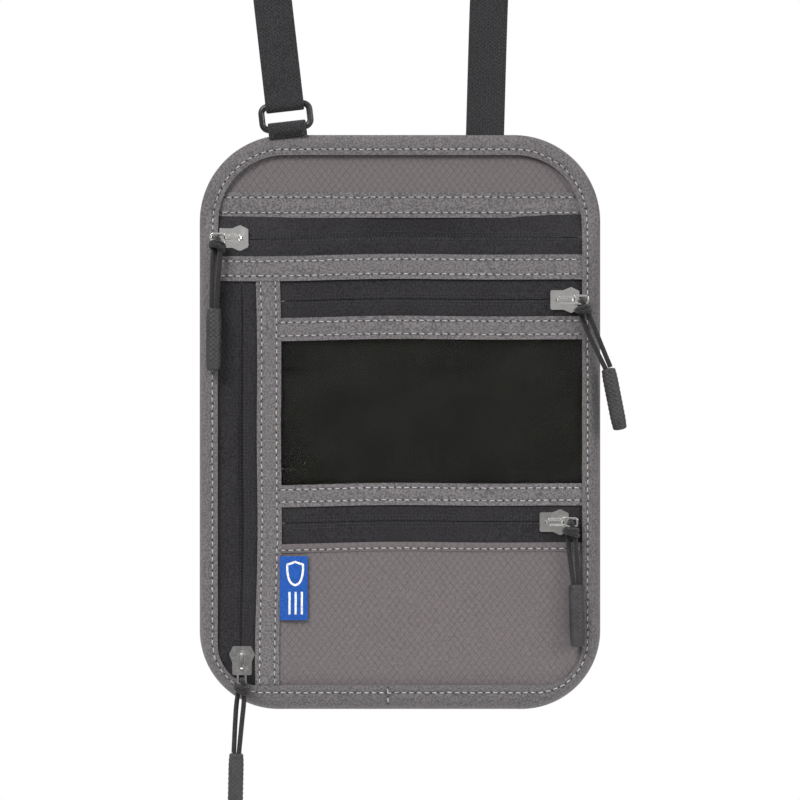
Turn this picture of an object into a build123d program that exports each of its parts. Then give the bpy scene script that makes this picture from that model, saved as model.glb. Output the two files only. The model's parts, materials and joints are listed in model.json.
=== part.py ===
from build123d import *

import math
import os
from dataclasses import dataclass

os.makedirs("parts", exist_ok=True)

# Neck pouch wallet, hanging from its strap. Millimetres. X runs to the wearer's
# left, the front faces -Y, Z is up, and the origin is inside the top of the strap
# loop. A depth is a distance in front of the plane that holds the strap and the
# folded edge of the pouch, and a height is measured from the pouch's centre.

# ---- Driving dimensions -------------------------------------------------------

# Outline and binding
pouch_width = 157.0
pouch_height = 225.0
top_corner_radius = 34.0
bottom_corner_radius = 31.0
binding_side_width = 7.4
binding_top_width = 8.0
binding_bottom_width = 9.7
inner_top_radius = 26.0
inner_bottom_radius = 16.0
edge_thickness = 4.0
rim_width = 0.6
flare_start_below_trim = 5.0
flare_end_below_trim = 2.0
cut_margin = 1.0

# Layers from the back to the front
back_face = -3.6
back_panel_thickness = 0.7
shield_thickness = 0.2
main_cavity = 6.0
main_wall_thickness = 0.4
note_slit = 0.4
backing_thickness = 0.3
zip_room = 2.7
tape_thickness = 0.5
trim_thickness = 0.5
card_gap = 0.9
window_thickness = 0.3
upper_panel_depth = 0.15
upper_panel_thickness = 0.5

# Bands across the front: drops from the pouch's top edge, rises from its bottom edge
# and distances from its middle
main_chain_drop = 40.7
main_trim_low_drop = 57.1
main_trim_high_drop = 47.4
upper_trim_low_drop = 32.5
upper_trim_high_drop = 22.5
front_chain_drop = 64.9
window_trim_low_drop = 80.5
window_trim_high_drop = 71.5
sill_trim_low_rise = 79.7
sill_trim_high_rise = 88.3
pocket_chain_rise = 73.5
pocket_top_rise = 65.3
hem_height = 2.7
side_chain = -61.6
side_trim_left = -56.0
side_trim_right = -46.6
window_tuck = 2.0

# Woven label
label_width = 10.6
label_height = 24.9
label_rise = 35.3
label_thickness = 0.8
label_ply = 0.3

# Coil zips
coil_width = 1.7
coil_thickness = 1.5
coil_gap = 0.1
stop_length = 1.8
closed_coil_reach = 1.0
stop_gap = 0.6
parting_half = 1.0
main_chain_depth = 5.6
main_upper_bow = 0.4
side_coil_clearance = 0.15

# Sliders and pull tabs
front_slider_x = 64.3
pocket_slider_x = 60.1
side_slider_rise = 4.15
slider_length = 11.3
slider_rear_width = 7.6
slider_shoulder_width = 10.2
slider_nose_width = 7.0
plate_thickness = 0.9
slider_clearance = 0.1
shoulder_start = -0.6
shoulder_peak = 2.4
plate_round = 0.7
flange_width = 0.8
post_start = 2.0
post_length = 3.2
post_width = 1.6
bail_width = 1.0
bail_span = 7.4
bail_bar = 0.8
bail_height = 5.5
bail_round = 1.4
tab_height = 3.7
tab_thickness = 1.2
tab_pivot_offset = 1.9
tab_crossbar = 0.9
tab_slot_width = 1.5
tab_rail = 0.65
tab_eye_start = 4.4
tab_eye_length = 4.0
tab_eye_width = 2.2
tab_eye_rail = 0.85
tab_round = 1.4

# Pull cords and grips
cord_diameter = 1.9
strand_gap = 0.1
grip_length = 24.5
grip_diameter = 5.8
grip_mouth_diameter = 4.8
grip_tip_diameter = 5.0
grip_taper = 1.6

# Strap
strap_width = 15.0
strap_thickness = 1.3
strap_drop = 330.0
strap_sections = 56
right_twist = (0.14, 0.30)
left_twist = (0.58, 0.74)
ring_wire = 2.5
ring_inner_width = 16.4
ring_inner_height = 6.6
ring_corner = 2.6
ring_low = 2.7
wrap_clearance = 0.1
anchor_x = -43.9
strap_lean = 6.5
sewn_in = 1.0
glide_width = 20.0
glide_height = 13.0
glide_thickness = 2.0
glide_bar = 2.2
glide_place = 120.0
glide_round = 1.6
arc_share = 0.45

# ---- Places worked out from the driving dimensions -----------------------------

half_width = pouch_width / 2
half_height = pouch_height / 2
pouch_z = -(half_height + strap_drop)
inner_side = half_width - binding_side_width
inner_top = half_height - binding_top_width
inner_bottom = -half_height + binding_bottom_width

main_chain_height = half_height - main_chain_drop
main_trim_low = half_height - main_trim_low_drop
main_trim_high = half_height - main_trim_high_drop
upper_trim_low = half_height - upper_trim_low_drop
upper_trim_high = half_height - upper_trim_high_drop
front_chain_height = half_height - front_chain_drop
window_trim_low = half_height - window_trim_low_drop
window_trim_high = half_height - window_trim_high_drop
sill_trim_low = sill_trim_low_rise - half_height
sill_trim_high = sill_trim_high_rise - half_height
pocket_chain_height = pocket_chain_rise - half_height
pocket_top = pocket_top_rise - half_height
label_low = label_rise - half_height
side_slider_place = inner_bottom + side_slider_rise + slider_length / 2

back_inner = back_face + back_panel_thickness
shield_front = back_inner + shield_thickness
main_wall_back = shield_front + main_cavity
main_wall_front = main_wall_back + main_wall_thickness
backing_back = main_wall_front + note_slit
backing_front = backing_back + backing_thickness
tape_back = backing_front + zip_room
tape_front = tape_back + tape_thickness
trim_front = tape_front + trim_thickness
chain_depth = (tape_back + tape_front) / 2
upper_panel_front = upper_panel_depth + upper_panel_thickness
fold_half = edge_thickness / 2
window_back = tape_front - window_thickness
window_backing_front = window_back - card_gap


def front_plane(depth):
    """Plane that faces the front, with X to the right and Y up from the centre."""
    return Plane(origin=(0, -depth, pouch_z), x_dir=(1, 0, 0), z_dir=(0, -1, 0))


def row_plane(height):
    """Plane seen from below, with X to the right and Y as the depth."""
    return Plane(origin=(0, 0, pouch_z + height), x_dir=(1, 0, 0), z_dir=(0, 0, -1))


def column_plane(across):
    """Plane seen from the right, with X as the height and Y as the depth."""
    return Plane(origin=(across, 0, pouch_z), x_dir=(0, 0, 1), z_dir=(1, 0, 0))


def place(x, height, depth):
    """Point in the model's frame for a place on the pouch."""
    return Vector(x, -depth, pouch_z + height)


def save(piece, name):
    """Label a finished piece and write it."""
    piece.part.label = name
    export_step(piece.part, f"parts/{name}.step")


def outline_sketch(depth):
    """Outer outline of the pouch."""
    with BuildSketch(front_plane(depth)) as outline:
        Rectangle(pouch_width, pouch_height)
        rows = outline.vertices().group_by(Axis.Y)
        fillet(rows[-1], radius=top_corner_radius)
        fillet(outline.vertices().group_by(Axis.Y)[0], radius=bottom_corner_radius)
    return outline


def inner_sketch(depth, grow=0.0):
    """Outline inside the binding, made larger all round by grow."""
    with BuildSketch(front_plane(depth)) as inner:
        middle = (inner_top + inner_bottom) / 2
        with Locations((0, middle)):
            Rectangle(2 * (inner_side + grow), inner_top - inner_bottom + 2 * grow)
        rows = inner.vertices().group_by(Axis.Y)
        fillet(rows[-1], radius=inner_top_radius + grow)
        fillet(inner.vertices().group_by(Axis.Y)[0], radius=inner_bottom_radius + grow)
    return inner


def flat_patch(depth, thickness, left, right, low, high):
    """Flat layer that fills a rectangle as far as the binding."""
    with BuildPart() as patch:
        with BuildSketch(front_plane(depth)):
            add(inner_sketch(depth).sketch_local)
            with Locations(((left + right) / 2, (low + high) / 2)):
                Rectangle(right - left, high - low, mode=Mode.INTERSECT)
        extrude(amount=thickness)
    return patch


# ---- Panels --------------------------------------------------------------------

back_panel = flat_patch(
    back_face, back_panel_thickness, -inner_side, inner_side, inner_bottom, inner_top
)
save(back_panel, "back_panel")

shield_sheet = flat_patch(
    back_inner, shield_thickness, -inner_side, inner_side, inner_bottom, upper_trim_low
)
save(shield_sheet, "shield_sheet")

organiser_top = (main_trim_low + main_trim_high) / 2
main_front_wall = flat_patch(
    main_wall_back, main_wall_thickness, -inner_side, inner_side, inner_bottom, organiser_top
)
save(main_front_wall, "main_front_wall")

organiser_backing = flat_patch(
    backing_back, backing_thickness, side_trim_left, inner_side, inner_bottom, organiser_top
)
save(organiser_backing, "organiser_backing")

upper_panel = flat_patch(
    upper_panel_depth, upper_panel_thickness, -inner_side, inner_side, upper_trim_low, inner_top
)
save(upper_panel, "upper_panel")

ripstop_pocket = flat_patch(
    tape_back, tape_thickness, side_trim_right, inner_side, inner_bottom, pocket_top
)
save(ripstop_pocket, "ripstop_pocket")

pocket_hem = flat_patch(
    tape_front, trim_thickness, side_trim_right, inner_side, pocket_top - hem_height, pocket_top
)
save(pocket_hem, "pocket_hem")

window_backing = flat_patch(
    window_backing_front - backing_thickness,
    backing_thickness,
    side_trim_right - window_tuck,
    inner_side,
    sill_trim_low,
    window_trim_high,
)
save(window_backing, "window_backing")

clear_window = flat_patch(
    window_back,
    window_thickness,
    side_trim_right - window_tuck,
    inner_side,
    sill_trim_high - window_tuck,
    window_trim_low + window_tuck,
)
save(clear_window, "clear_window")

# ---- Trims ---------------------------------------------------------------------

main_zip_upper_trim = flat_patch(
    upper_panel_front, trim_thickness, -inner_side, inner_side, upper_trim_low, upper_trim_high
)
save(main_zip_upper_trim, "main_zip_upper_trim")

main_zip_lower_trim = flat_patch(
    tape_front, trim_thickness, -inner_side, inner_side, main_trim_low, main_trim_high
)
save(main_zip_lower_trim, "main_zip_lower_trim")

side_trim = flat_patch(
    tape_front, trim_thickness, side_trim_left, side_trim_right, inner_bottom, main_trim_low
)
save(side_trim, "side_trim")

window_top_trim = flat_patch(
    tape_front, trim_thickness, side_trim_right, inner_side, window_trim_low, window_trim_high
)
save(window_top_trim, "window_top_trim")

window_bottom_trim = flat_patch(
    tape_front, trim_thickness, side_trim_right, inner_side, sill_trim_low, sill_trim_high
)
save(window_bottom_trim, "window_bottom_trim")

# ---- Woven label, folded over on itself -----------------------------------------

with BuildPart() as woven_label:
    with BuildSketch(row_plane(label_low + label_height)):
        label_middle = side_trim_right + label_width / 2
        label_centre = tape_front + label_thickness / 2
        with Locations((label_middle, label_centre)):
            Rectangle(label_width, label_thickness)
        with Locations((label_middle - label_ply, label_centre)):
            Rectangle(label_width, label_thickness - 2 * label_ply, mode=Mode.SUBTRACT)
    extrude(amount=label_height)
save(woven_label, "woven_label")

# ---- Edge binding ---------------------------------------------------------------
# A folded tape all round. Its front flares up to the organiser below the main zip
# and stays low beside the upper panel.

flare_start = main_trim_high - flare_start_below_trim
with BuildPart() as edge_binding:
    with BuildSketch(front_plane(-fold_half)):
        add(outline_sketch(-fold_half).sketch_local)
    extrude(amount=edge_thickness)
    with BuildSketch(front_plane(fold_half)):
        add(outline_sketch(fold_half).sketch_local)
    with BuildSketch(front_plane(trim_front)):
        add(inner_sketch(trim_front, rim_width).sketch_local)
    loft(ruled=True)
    with BuildSketch(front_plane(-fold_half)):
        add(outline_sketch(-fold_half).sketch_local)
    with BuildSketch(front_plane(back_face)):
        add(inner_sketch(back_face, rim_width).sketch_local)
    loft(ruled=True)
    with BuildSketch(front_plane(back_face)):
        add(inner_sketch(back_face).sketch_local)
    extrude(amount=trim_front - back_face, mode=Mode.SUBTRACT)
    with BuildSketch(column_plane(-half_width)):
        with BuildLine():
            Polyline(
                (flare_start, trim_front + cut_margin),
                (flare_start, trim_front),
                (upper_trim_low - flare_end_below_trim, fold_half),
                (half_height + cut_margin, fold_half),
                (half_height + cut_margin, trim_front + cut_margin),
                close=True,
            )
        make_face()
    extrude(amount=pouch_width, mode=Mode.SUBTRACT)
save(edge_binding, "edge_binding")

# ---- Coil zips ------------------------------------------------------------------


def bowed_strip(plane, span, end_depth, bow_depth, thickness, width, ends=()):
    """Strip that bows from end_depth to bow_depth and back, with straight spans as its ends."""
    start, end = span
    middle = (start + end) / 2
    with BuildPart() as strip:
        with BuildSketch(plane):
            with BuildLine():
                back = ThreePointArc((start, end_depth), (middle, bow_depth), (end, end_depth))
                front = ThreePointArc(
                    (start, end_depth + thickness),
                    (middle, bow_depth + thickness),
                    (end, end_depth + thickness),
                )
                Line(back @ 0, front @ 0)
                Line(back @ 1, front @ 1)
            make_face()
            for first, last in ends:
                with Locations(((first + last) / 2, end_depth + thickness / 2)):
                    Rectangle(last - first, thickness)
        extrude(amount=width)
    return strip


def parted(tape, left, right, low, high):
    """Tape with a notch where the two halves part round the slider's post."""
    with BuildPart() as notched:
        add(tape.part)
        with BuildSketch(front_plane(back_face)):
            with Locations(((left + right) / 2, (low + high) / 2)):
                Rectangle(right - left, high - low)
        extrude(amount=trim_front - back_face, mode=Mode.SUBTRACT)
    return notched


def block_group(spans, back, front):
    """Rectangular blocks between two depths, each span as left, right, low, high."""
    with BuildPart() as group:
        with BuildSketch(front_plane(back)):
            for left, right, low, high in spans:
                with Locations(((left + right) / 2, (low + high) / 2)):
                    Rectangle(right - left, high - low)
        extrude(amount=front - back)
    return group


coil_reach = coil_gap / 2 + coil_width
slider_half = slider_length / 2
closed_start = side_trim_right + stop_length

# Front zip and pocket zip are closed and flat.
for zip_name, chain, tape_low, tape_high, slider_x in (
    ("front_zip", front_chain_height, window_trim_high, main_trim_low, front_slider_x),
    ("pocket_zip", pocket_chain_height, pocket_top, sill_trim_low, pocket_slider_x),
):
    coil_end = slider_x + closed_coil_reach
    coil_back = tape_back - coil_thickness
    for half_name, tape_span, coil_span in (
        (
            "upper",
            (chain + coil_gap / 2, tape_high),
            (chain + coil_gap / 2, chain + coil_reach),
        ),
        (
            "lower",
            (tape_low, chain - coil_gap / 2),
            (chain - coil_reach, chain - coil_gap / 2),
        ),
    ):
        tape = block_group([(side_trim_right, inner_side, *tape_span)], tape_back, tape_front)
        notch = (coil_end, inner_side, chain - parting_half, chain + parting_half)
        save(parted(tape, *notch), f"{zip_name}_{half_name}_tape")
        coil = block_group([(closed_start, coil_end, *coil_span)], coil_back, tape_back)
        save(coil, f"{zip_name}_{half_name}_coil")
    stop = block_group(
        [(side_trim_right, closed_start, chain - coil_reach, chain + coil_reach)], coil_back, tape_back
    )
    save(stop, f"{zip_name}_stop")

# Main zip is open: its lower tape bows forward and its upper tape bows back.
main_slider_x = -(inner_side - slider_half - stop_gap)
main_tape_back = main_chain_depth - tape_thickness / 2
main_open_start = main_slider_x + slider_half + stop_gap
main_span = (main_open_start, inner_side - stop_length)
main_ends = ((-inner_side, main_span[0]), (main_span[1], inner_side))
main_notch = (
    main_slider_x + closed_coil_reach,
    main_open_start,
    main_chain_height - parting_half,
    main_chain_height + parting_half,
)
for half_name, bow_back, tape_top, tape_width, coil_top in (
    (
        "upper",
        main_upper_bow - tape_thickness / 2,
        upper_trim_low,
        upper_trim_low - main_chain_height - coil_gap / 2,
        main_chain_height + coil_reach,
    ),
    (
        "lower",
        tape_back,
        main_chain_height - coil_gap / 2,
        main_chain_height - coil_gap / 2 - main_trim_high,
        main_chain_height - coil_gap / 2,
    ),
):
    tape = bowed_strip(
        row_plane(tape_top),
        main_span,
        main_tape_back,
        bow_back,
        tape_thickness,
        tape_width,
        ends=main_ends,
    )
    save(parted(tape, *main_notch), f"main_zip_{half_name}_tape")
    coil = bowed_strip(
        row_plane(coil_top),
        main_span,
        main_tape_back - coil_thickness,
        bow_back - coil_thickness,
        coil_thickness,
        coil_width,
    )
    save(coil, f"main_zip_{half_name}_coil")
main_stop_span = (inner_side - stop_length, inner_side)
save(
    block_group(
        [
            (*main_stop_span, main_chain_height + coil_gap / 2, main_chain_height + coil_reach),
            (*main_stop_span, main_chain_height - coil_reach, main_chain_height - coil_gap / 2),
        ],
        main_tape_back - coil_thickness,
        main_tape_back,
    ),
    "main_zip_stops",
)

# Side zip is open too: its right tape stays flat and its left tape bows back.
side_span = (side_slider_place + slider_half + stop_gap, main_trim_low - stop_length)
side_notch = (
    side_chain - parting_half,
    side_chain + parting_half,
    side_slider_place + closed_coil_reach,
    side_span[0],
)
side_left_width = inner_side + side_chain - coil_gap / 2
side_bow_back = main_wall_front + side_coil_clearance + coil_thickness
with BuildPart() as side_left_strip:
    add(
        bowed_strip(
            column_plane(-inner_side),
            side_span,
            tape_back,
            side_bow_back,
            tape_thickness,
            side_left_width,
            ends=((inner_bottom, side_span[0]), (side_span[1], main_trim_low)),
        ).part
    )
    with BuildSketch(front_plane(back_face)):
        add(inner_sketch(back_face).sketch_local)
    extrude(amount=trim_front - back_face, mode=Mode.INTERSECT)
save(parted(side_left_strip, *side_notch), "side_zip_left_tape")
save(
    bowed_strip(
        column_plane(side_chain - coil_reach),
        side_span,
        tape_back - coil_thickness,
        side_bow_back - coil_thickness,
        coil_thickness,
        coil_width,
    ),
    "side_zip_left_coil",
)
side_right_strip = flat_patch(
    tape_back, tape_thickness, side_chain + coil_gap / 2, side_trim_left, inner_bottom, main_trim_low
)
save(parted(side_right_strip, *side_notch), "side_zip_right_tape")
side_coil_back = tape_back - coil_thickness
save(
    block_group(
        [(side_chain + coil_gap / 2, side_chain + coil_reach, *side_span)],
        side_coil_back,
        tape_back,
    ),
    "side_zip_right_coil",
)
side_stop_span = (main_trim_low - stop_length, main_trim_low)
save(
    block_group(
        [
            (side_chain + coil_gap / 2, side_chain + coil_reach, *side_stop_span),
            (side_chain - coil_reach, side_chain - coil_gap / 2, *side_stop_span),
        ],
        side_coil_back,
        tape_back,
    ),
    "side_zip_stops",
)

# ---- Sliders, pull tabs, pull cords and grips --------------------------------------


@dataclass
class Pull:
    """One slider with what hangs from it; a route point is x, height, depth, half spacing."""

    name: str
    x: float
    height: float
    depth: float
    nose: tuple
    tab: tuple
    rail: tuple
    route: tuple
    tip: tuple


def slider_plane(pull, above, heading):
    """Plane across a slider, some way above its tapes, with X along a heading."""
    return Plane(
        origin=place(pull.x, pull.height, pull.depth + above),
        x_dir=(heading[0], 0, heading[1]),
        z_dir=(0, -1, 0),
    )


def slider_side_plane(pull):
    """Plane through a slider's length, with X to the nose and Y to the front."""
    nose = Vector(pull.nose[0], 0, pull.nose[1])
    return Plane(
        origin=place(pull.x, pull.height, pull.depth), x_dir=nose, z_dir=nose.cross(Vector(0, -1, 0))
    )


plate_above = tape_thickness / 2 + slider_clearance
plate_below = tape_thickness / 2 + coil_thickness + 2 * slider_clearance


def slider_body(pull):
    """Front and back plates, the flanges and post between them, and the bail."""
    with BuildPart() as body:
        for base in (plate_above, -plate_below - plate_thickness):
            with BuildSketch(slider_plane(pull, base, pull.nose)) as plate:
                with BuildLine():
                    Polyline(
                        (-slider_half, -slider_rear_width / 2),
                        (shoulder_start, -slider_rear_width / 2),
                        (shoulder_peak, -slider_shoulder_width / 2),
                        (slider_half, -slider_nose_width / 2),
                        (slider_half, slider_nose_width / 2),
                        (shoulder_peak, slider_shoulder_width / 2),
                        (shoulder_start, slider_rear_width / 2),
                        (-slider_half, slider_rear_width / 2),
                        close=True,
                    )
                make_face()
                fillet(plate.vertices(), radius=plate_round)
            extrude(amount=plate_thickness)
        with BuildSketch(slider_plane(pull, -plate_below, pull.nose)):
            flange_length = slider_half + shoulder_start
            with Locations(
                (-slider_half + flange_length / 2, (slider_rear_width - flange_width) / 2),
                (-slider_half + flange_length / 2, -(slider_rear_width - flange_width) / 2),
            ):
                Rectangle(flange_length, flange_width)
        extrude(amount=plate_below - plate_above)
        with BuildSketch(slider_plane(pull, -plate_below, pull.nose)):
            with Locations((post_start + post_length / 2, 0)):
                Ellipse(post_length / 2, post_width / 2)
        extrude(amount=plate_below + plate_above)
        with BuildSketch(slider_side_plane(pull)) as arch:
            with Locations((0, (plate_above + plate_thickness + bail_height) / 2)):
                Rectangle(bail_span, bail_height - plate_above - plate_thickness)
            fillet(arch.vertices().group_by(Axis.Y)[-1], radius=bail_round)
            with Locations((0, (plate_above + plate_thickness + bail_height - bail_bar) / 2)):
                Rectangle(
                    bail_span - 2 * bail_bar,
                    bail_height - bail_bar - plate_above - plate_thickness,
                    mode=Mode.SUBTRACT,
                )
        extrude(amount=bail_width / 2, both=True)
    return body


def pull_tab(pull):
    """Metal tab: a long ring that hangs on the bail and widens to an eye for the cord."""
    tab_start = -tab_pivot_offset - tab_crossbar / 2
    slot_start = tab_start + tab_crossbar
    eye_end = tab_eye_start + tab_eye_length
    width = tab_slot_width + 2 * tab_rail
    eye_outer = tab_eye_width + 2 * tab_eye_rail
    with BuildPart() as tab:
        with BuildSketch(slider_plane(pull, tab_height - tab_thickness / 2, pull.tab)) as shape:
            with Locations(((tab_start + tab_eye_start) / 2, 0)):
                Rectangle(tab_eye_start - tab_start, width)
            with Locations(((tab_eye_start + eye_end) / 2, 0)):
                Rectangle(tab_eye_length + 2 * tab_eye_rail, eye_outer)
            fillet(shape.vertices().group_by(Axis.X)[-1], radius=tab_round)
            with Locations(((slot_start + tab_eye_start) / 2, 0)):
                slot_length = tab_eye_start - slot_start + cut_margin
                Rectangle(slot_length, tab_slot_width, mode=Mode.SUBTRACT)
            with Locations(((tab_eye_start + eye_end) / 2, 0)):
                Rectangle(tab_eye_length, tab_eye_width, mode=Mode.SUBTRACT)
        extrude(amount=tab_thickness)
    return tab


def strand_points(pull):
    """Corners of a cord's route: up one strand, over the tab's rail, down the other."""
    rail_x, rail_height = pull.rail
    clear = tab_eye_rail / 2 + strand_gap + cord_diameter / 2
    top = (rail_x, rail_height + clear, pull.depth + tab_height, pull.route[0][3])
    stations = (top, *pull.route)
    front = [place(x, height, depth + half) for x, height, depth, half in stations]
    back = [place(x, height, depth - half) for x, height, depth, half in stations]
    return front[::-1] + back


def corner_radii(points):
    """Largest arc that each corner's two runs allow."""
    radii = []
    for before, corner, after in zip(points, points[1:], points[2:]):
        turn = math.radians((corner - before).get_angle(after - corner))
        shorter = min((corner - before).length, (after - corner).length)
        radii.append(arc_share * shorter / math.tan(turn / 2))
    return radii


def swept_cord(name, points, diameter):
    """Round tube along a route of straight runs and arcs."""
    radii = corner_radii(points)
    with BuildPart() as cord:
        with BuildLine() as path:
            FilletPolyline(*points, radius=radii)
        with BuildSketch(Plane(origin=points[0], z_dir=points[1] - points[0])):
            Circle(diameter / 2)
        sweep()
    length = path.wires()[0].length
    share = cord.part.volume / (math.pi * (diameter / 2) ** 2 * length)
    print(f"{name}: length {length:.1f}, smallest radius {min(radii):.2f}, volume share {share:.3f}")
    return cord


def pull_grip(pull):
    """Moulded grip, a round bar with tapered ends."""
    x, height, depth, _ = pull.route[-1]
    mouth = place(x, height, depth)
    axis = (place(*pull.tip) - mouth).normalized()
    with BuildPart() as grip:
        for along, diameter in (
            (0, grip_mouth_diameter),
            (grip_taper, grip_diameter),
            (grip_length - grip_taper, grip_diameter),
            (grip_length, grip_tip_diameter),
        ):
            with BuildSketch(Plane(origin=mouth + axis * along, x_dir=(0, 1, 0), z_dir=axis)):
                Circle(diameter / 2)
        loft(ruled=True)
    return grip


tab_side_rail = (tab_eye_width + tab_eye_rail) / 2
tab_cord_place = tab_eye_start + tab_eye_length / 2
tab_end_bar = tab_eye_start + tab_eye_length + tab_eye_rail / 2

pulls = (
    Pull(
        name="main",
        x=main_slider_x,
        height=main_chain_height,
        depth=main_chain_depth,
        nose=(1, 0),
        tab=(-1, 0),
        rail=(main_slider_x - tab_cord_place, main_chain_height - tab_side_rail),
        route=(
            (-71.3, 68.8, 9.3, 1.85),
            (-71.4, 65.8, 10.7, 1.25),
            (-71.7, 61.0, 11.1, 1.02),
            (-72.1, 54.0, 11.3, 1.0),
            (-72.4, 44.5, 11.4, 1.0),
        ),
        tip=(-72.6, 20.0, 11.4),
    ),
    Pull(
        name="front",
        x=front_slider_x,
        height=front_chain_height,
        depth=chain_depth,
        nose=(1, 0),
        tab=(1, 0),
        rail=(front_slider_x + tab_cord_place, front_chain_height - tab_side_rail),
        route=(
            (70.7, 44.6, 11.05, 1.85),
            (72.8, 39.5, 10.95, 1.3),
            (76.2, 31.5, 10.9, 1.02),
            (81.0, 21.0, 10.95, 1.0),
        ),
        tip=(85.6, -2.3, 10.95),
    ),
    Pull(
        name="pocket",
        x=pocket_slider_x,
        height=pocket_chain_height,
        depth=chain_depth,
        nose=(1, 0),
        tab=(1, 0),
        rail=(pocket_slider_x + tab_cord_place, pocket_chain_height - tab_side_rail),
        route=(
            (66.5, -42.0, 11.05, 1.85),
            (66.9, -47.3, 11.15, 1.3),
            (67.5, -54.4, 11.3, 1.02),
            (68.4, -63.0, 11.5, 1.0),
        ),
        tip=(69.2, -87.5, 11.6),
    ),
    Pull(
        name="side",
        x=side_chain,
        height=side_slider_place,
        depth=chain_depth,
        nose=(0, 1),
        tab=(0, -1),
        rail=(side_chain, side_slider_place - tab_end_bar),
        route=(
            (-61.6, -103.3, 11.05, 1.85),
            (-62.1, -108.6, 11.0, 1.3),
            (-62.9, -117.5, 11.05, 1.02),
            (-63.7, -128.7, 11.0, 1.0),
        ),
        tip=(-64.2, -153.0, 11.0),
    ),
)

for pull in pulls:
    save(slider_body(pull), f"{pull.name}_slider")
    save(pull_tab(pull), f"{pull.name}_pull_tab")
    save(swept_cord(pull.name, strand_points(pull), cord_diameter), f"{pull.name}_pull_cord")
    save(pull_grip(pull), f"{pull.name}_pull_grip")

# ---- Strap ---------------------------------------------------------------------------
# One length of webbing from the right end of the top binding, over the neck and down to
# a ring on the left. Its legs lie flat to the front and it turns a quarter over the neck.

strap_route = (
    (33.3, 111.5, 0.0),
    (34.1, 142.0, 0.1),
    (35.2, 175.0, 0.0),
    (36.9, 210.0, 0.1),
    (40.2, 248.0, 0.0),
    (45.6, 288.0, 0.0),
    (50.6, 330.0, 0.0),
    (52.6, 370.0, 0.0),
    (50.2, 402.8, 0.0),
    (35.4, 428.4, 0.0),
    (9.8, 443.15, 0.0),
    (-19.8, 443.15, 0.0),
    (-45.4, 428.4, 0.0),
    (-60.2, 402.8, 0.0),
    (-63.9, 372.0, 0.0),
    (-65.0, 336.0, -0.4),
    (-64.0, 300.0, -1.2),
    (-61.2, 264.0, -1.9),
    (-55.6, 214.9, -2.0),
    (-50.4, 169.2, -2.05),
    (-45.2, 124.2, -2.0),
)
strap_points = [place(x, height, depth) for x, height, depth in strap_route]
strap_radii = corner_radii(strap_points)
with BuildLine() as strap_line:
    FilletPolyline(*strap_points, radius=strap_radii)
strap_path = strap_line.wires()[0]


def strap_turn(share):
    """Quarter turn of the webbing at a share of its length, in radians."""
    rise = min(max((share - right_twist[0]) / (right_twist[1] - right_twist[0]), 0), 1)
    fall = min(max((share - left_twist[0]) / (left_twist[1] - left_twist[0]), 0), 1)
    return math.pi / 2 * (rise * rise * (3 - 2 * rise) - fall * fall * (3 - 2 * fall))


with BuildPart() as strap_webbing:
    for index in range(strap_sections + 1):
        share = index / strap_sections
        tangent = strap_path % share
        across = Vector(0, 1, 0).cross(tangent).normalized()
        turn = strap_turn(share)
        width_direction = across * math.cos(turn) + tangent.cross(across) * math.sin(turn)
        with BuildSketch(Plane(origin=strap_path @ share, x_dir=width_direction, z_dir=tangent)):
            Rectangle(strap_width, strap_thickness)
    loft(ruled=True)
save(strap_webbing, "strap_webbing")
strap_length = strap_path.length
strap_share = strap_webbing.part.volume / (strap_width * strap_thickness * strap_length)
print(
    f"strap: length {strap_length:.1f}, smallest radius {min(strap_radii):.1f}, "
    f"volume share {strap_share:.3f}"
)

lean_sine = math.sin(math.radians(strap_lean))
lean_cosine = math.cos(math.radians(strap_lean))
anchor_point = place(anchor_x, half_height, 0)
leg_across = Vector(lean_cosine, 0, lean_sine)
leg_up = Vector(-lean_sine, 0, lean_cosine)
wrap_inner = ring_wire / 2 + wrap_clearance
wrap_outer = wrap_inner + strap_thickness
ring_high = ring_low + ring_inner_height + ring_wire


def leg_plane(along, depth):
    """Plane that faces the front on the left leg, with Y up the leg."""
    origin = anchor_point + leg_up * along - Vector(0, depth, 0)
    return Plane(origin=origin, x_dir=leg_across, z_dir=(0, -1, 0))


def leg_profile_plane():
    """Plane on the webbing's left edge, with X up the leg and Y to the front."""
    origin = anchor_point - leg_across * (strap_width / 2)
    return Plane(origin=origin, x_dir=leg_up, z_dir=leg_across)


with BuildPart() as strap_anchor_tab:
    with BuildSketch(leg_profile_plane()):
        with BuildLine():
            Line((-sewn_in, wrap_inner), (-sewn_in, wrap_outer))
            Line((-sewn_in, wrap_outer), (ring_low, wrap_outer))
            ThreePointArc((ring_low, wrap_outer), (ring_low + wrap_outer, 0), (ring_low, -wrap_outer))
            Line((ring_low, -wrap_outer), (-sewn_in, -wrap_outer))
            Line((-sewn_in, -wrap_outer), (-sewn_in, -wrap_inner))
            Line((-sewn_in, -wrap_inner), (ring_low, -wrap_inner))
            ThreePointArc((ring_low, -wrap_inner), (ring_low + wrap_inner, 0), (ring_low, wrap_inner))
            Line((ring_low, wrap_inner), (-sewn_in, wrap_inner))
        make_face()
    extrude(amount=strap_width)
save(strap_anchor_tab, "strap_anchor_tab")

with BuildPart() as strap_return:
    with BuildSketch(leg_profile_plane()):
        with BuildLine():
            Line((glide_place, wrap_inner), (glide_place, wrap_outer))
            Line((glide_place, wrap_outer), (ring_high, wrap_outer))
            ThreePointArc((ring_high, wrap_outer), (ring_high - wrap_outer, 0), (ring_high, -wrap_outer))
            Line((ring_high, -wrap_outer), (ring_high, -wrap_inner))
            ThreePointArc((ring_high, -wrap_inner), (ring_high - wrap_inner, 0), (ring_high, wrap_inner))
            Line((ring_high, wrap_inner), (glide_place, wrap_inner))
        make_face()
    extrude(amount=strap_width)
save(strap_return, "strap_return")

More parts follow.
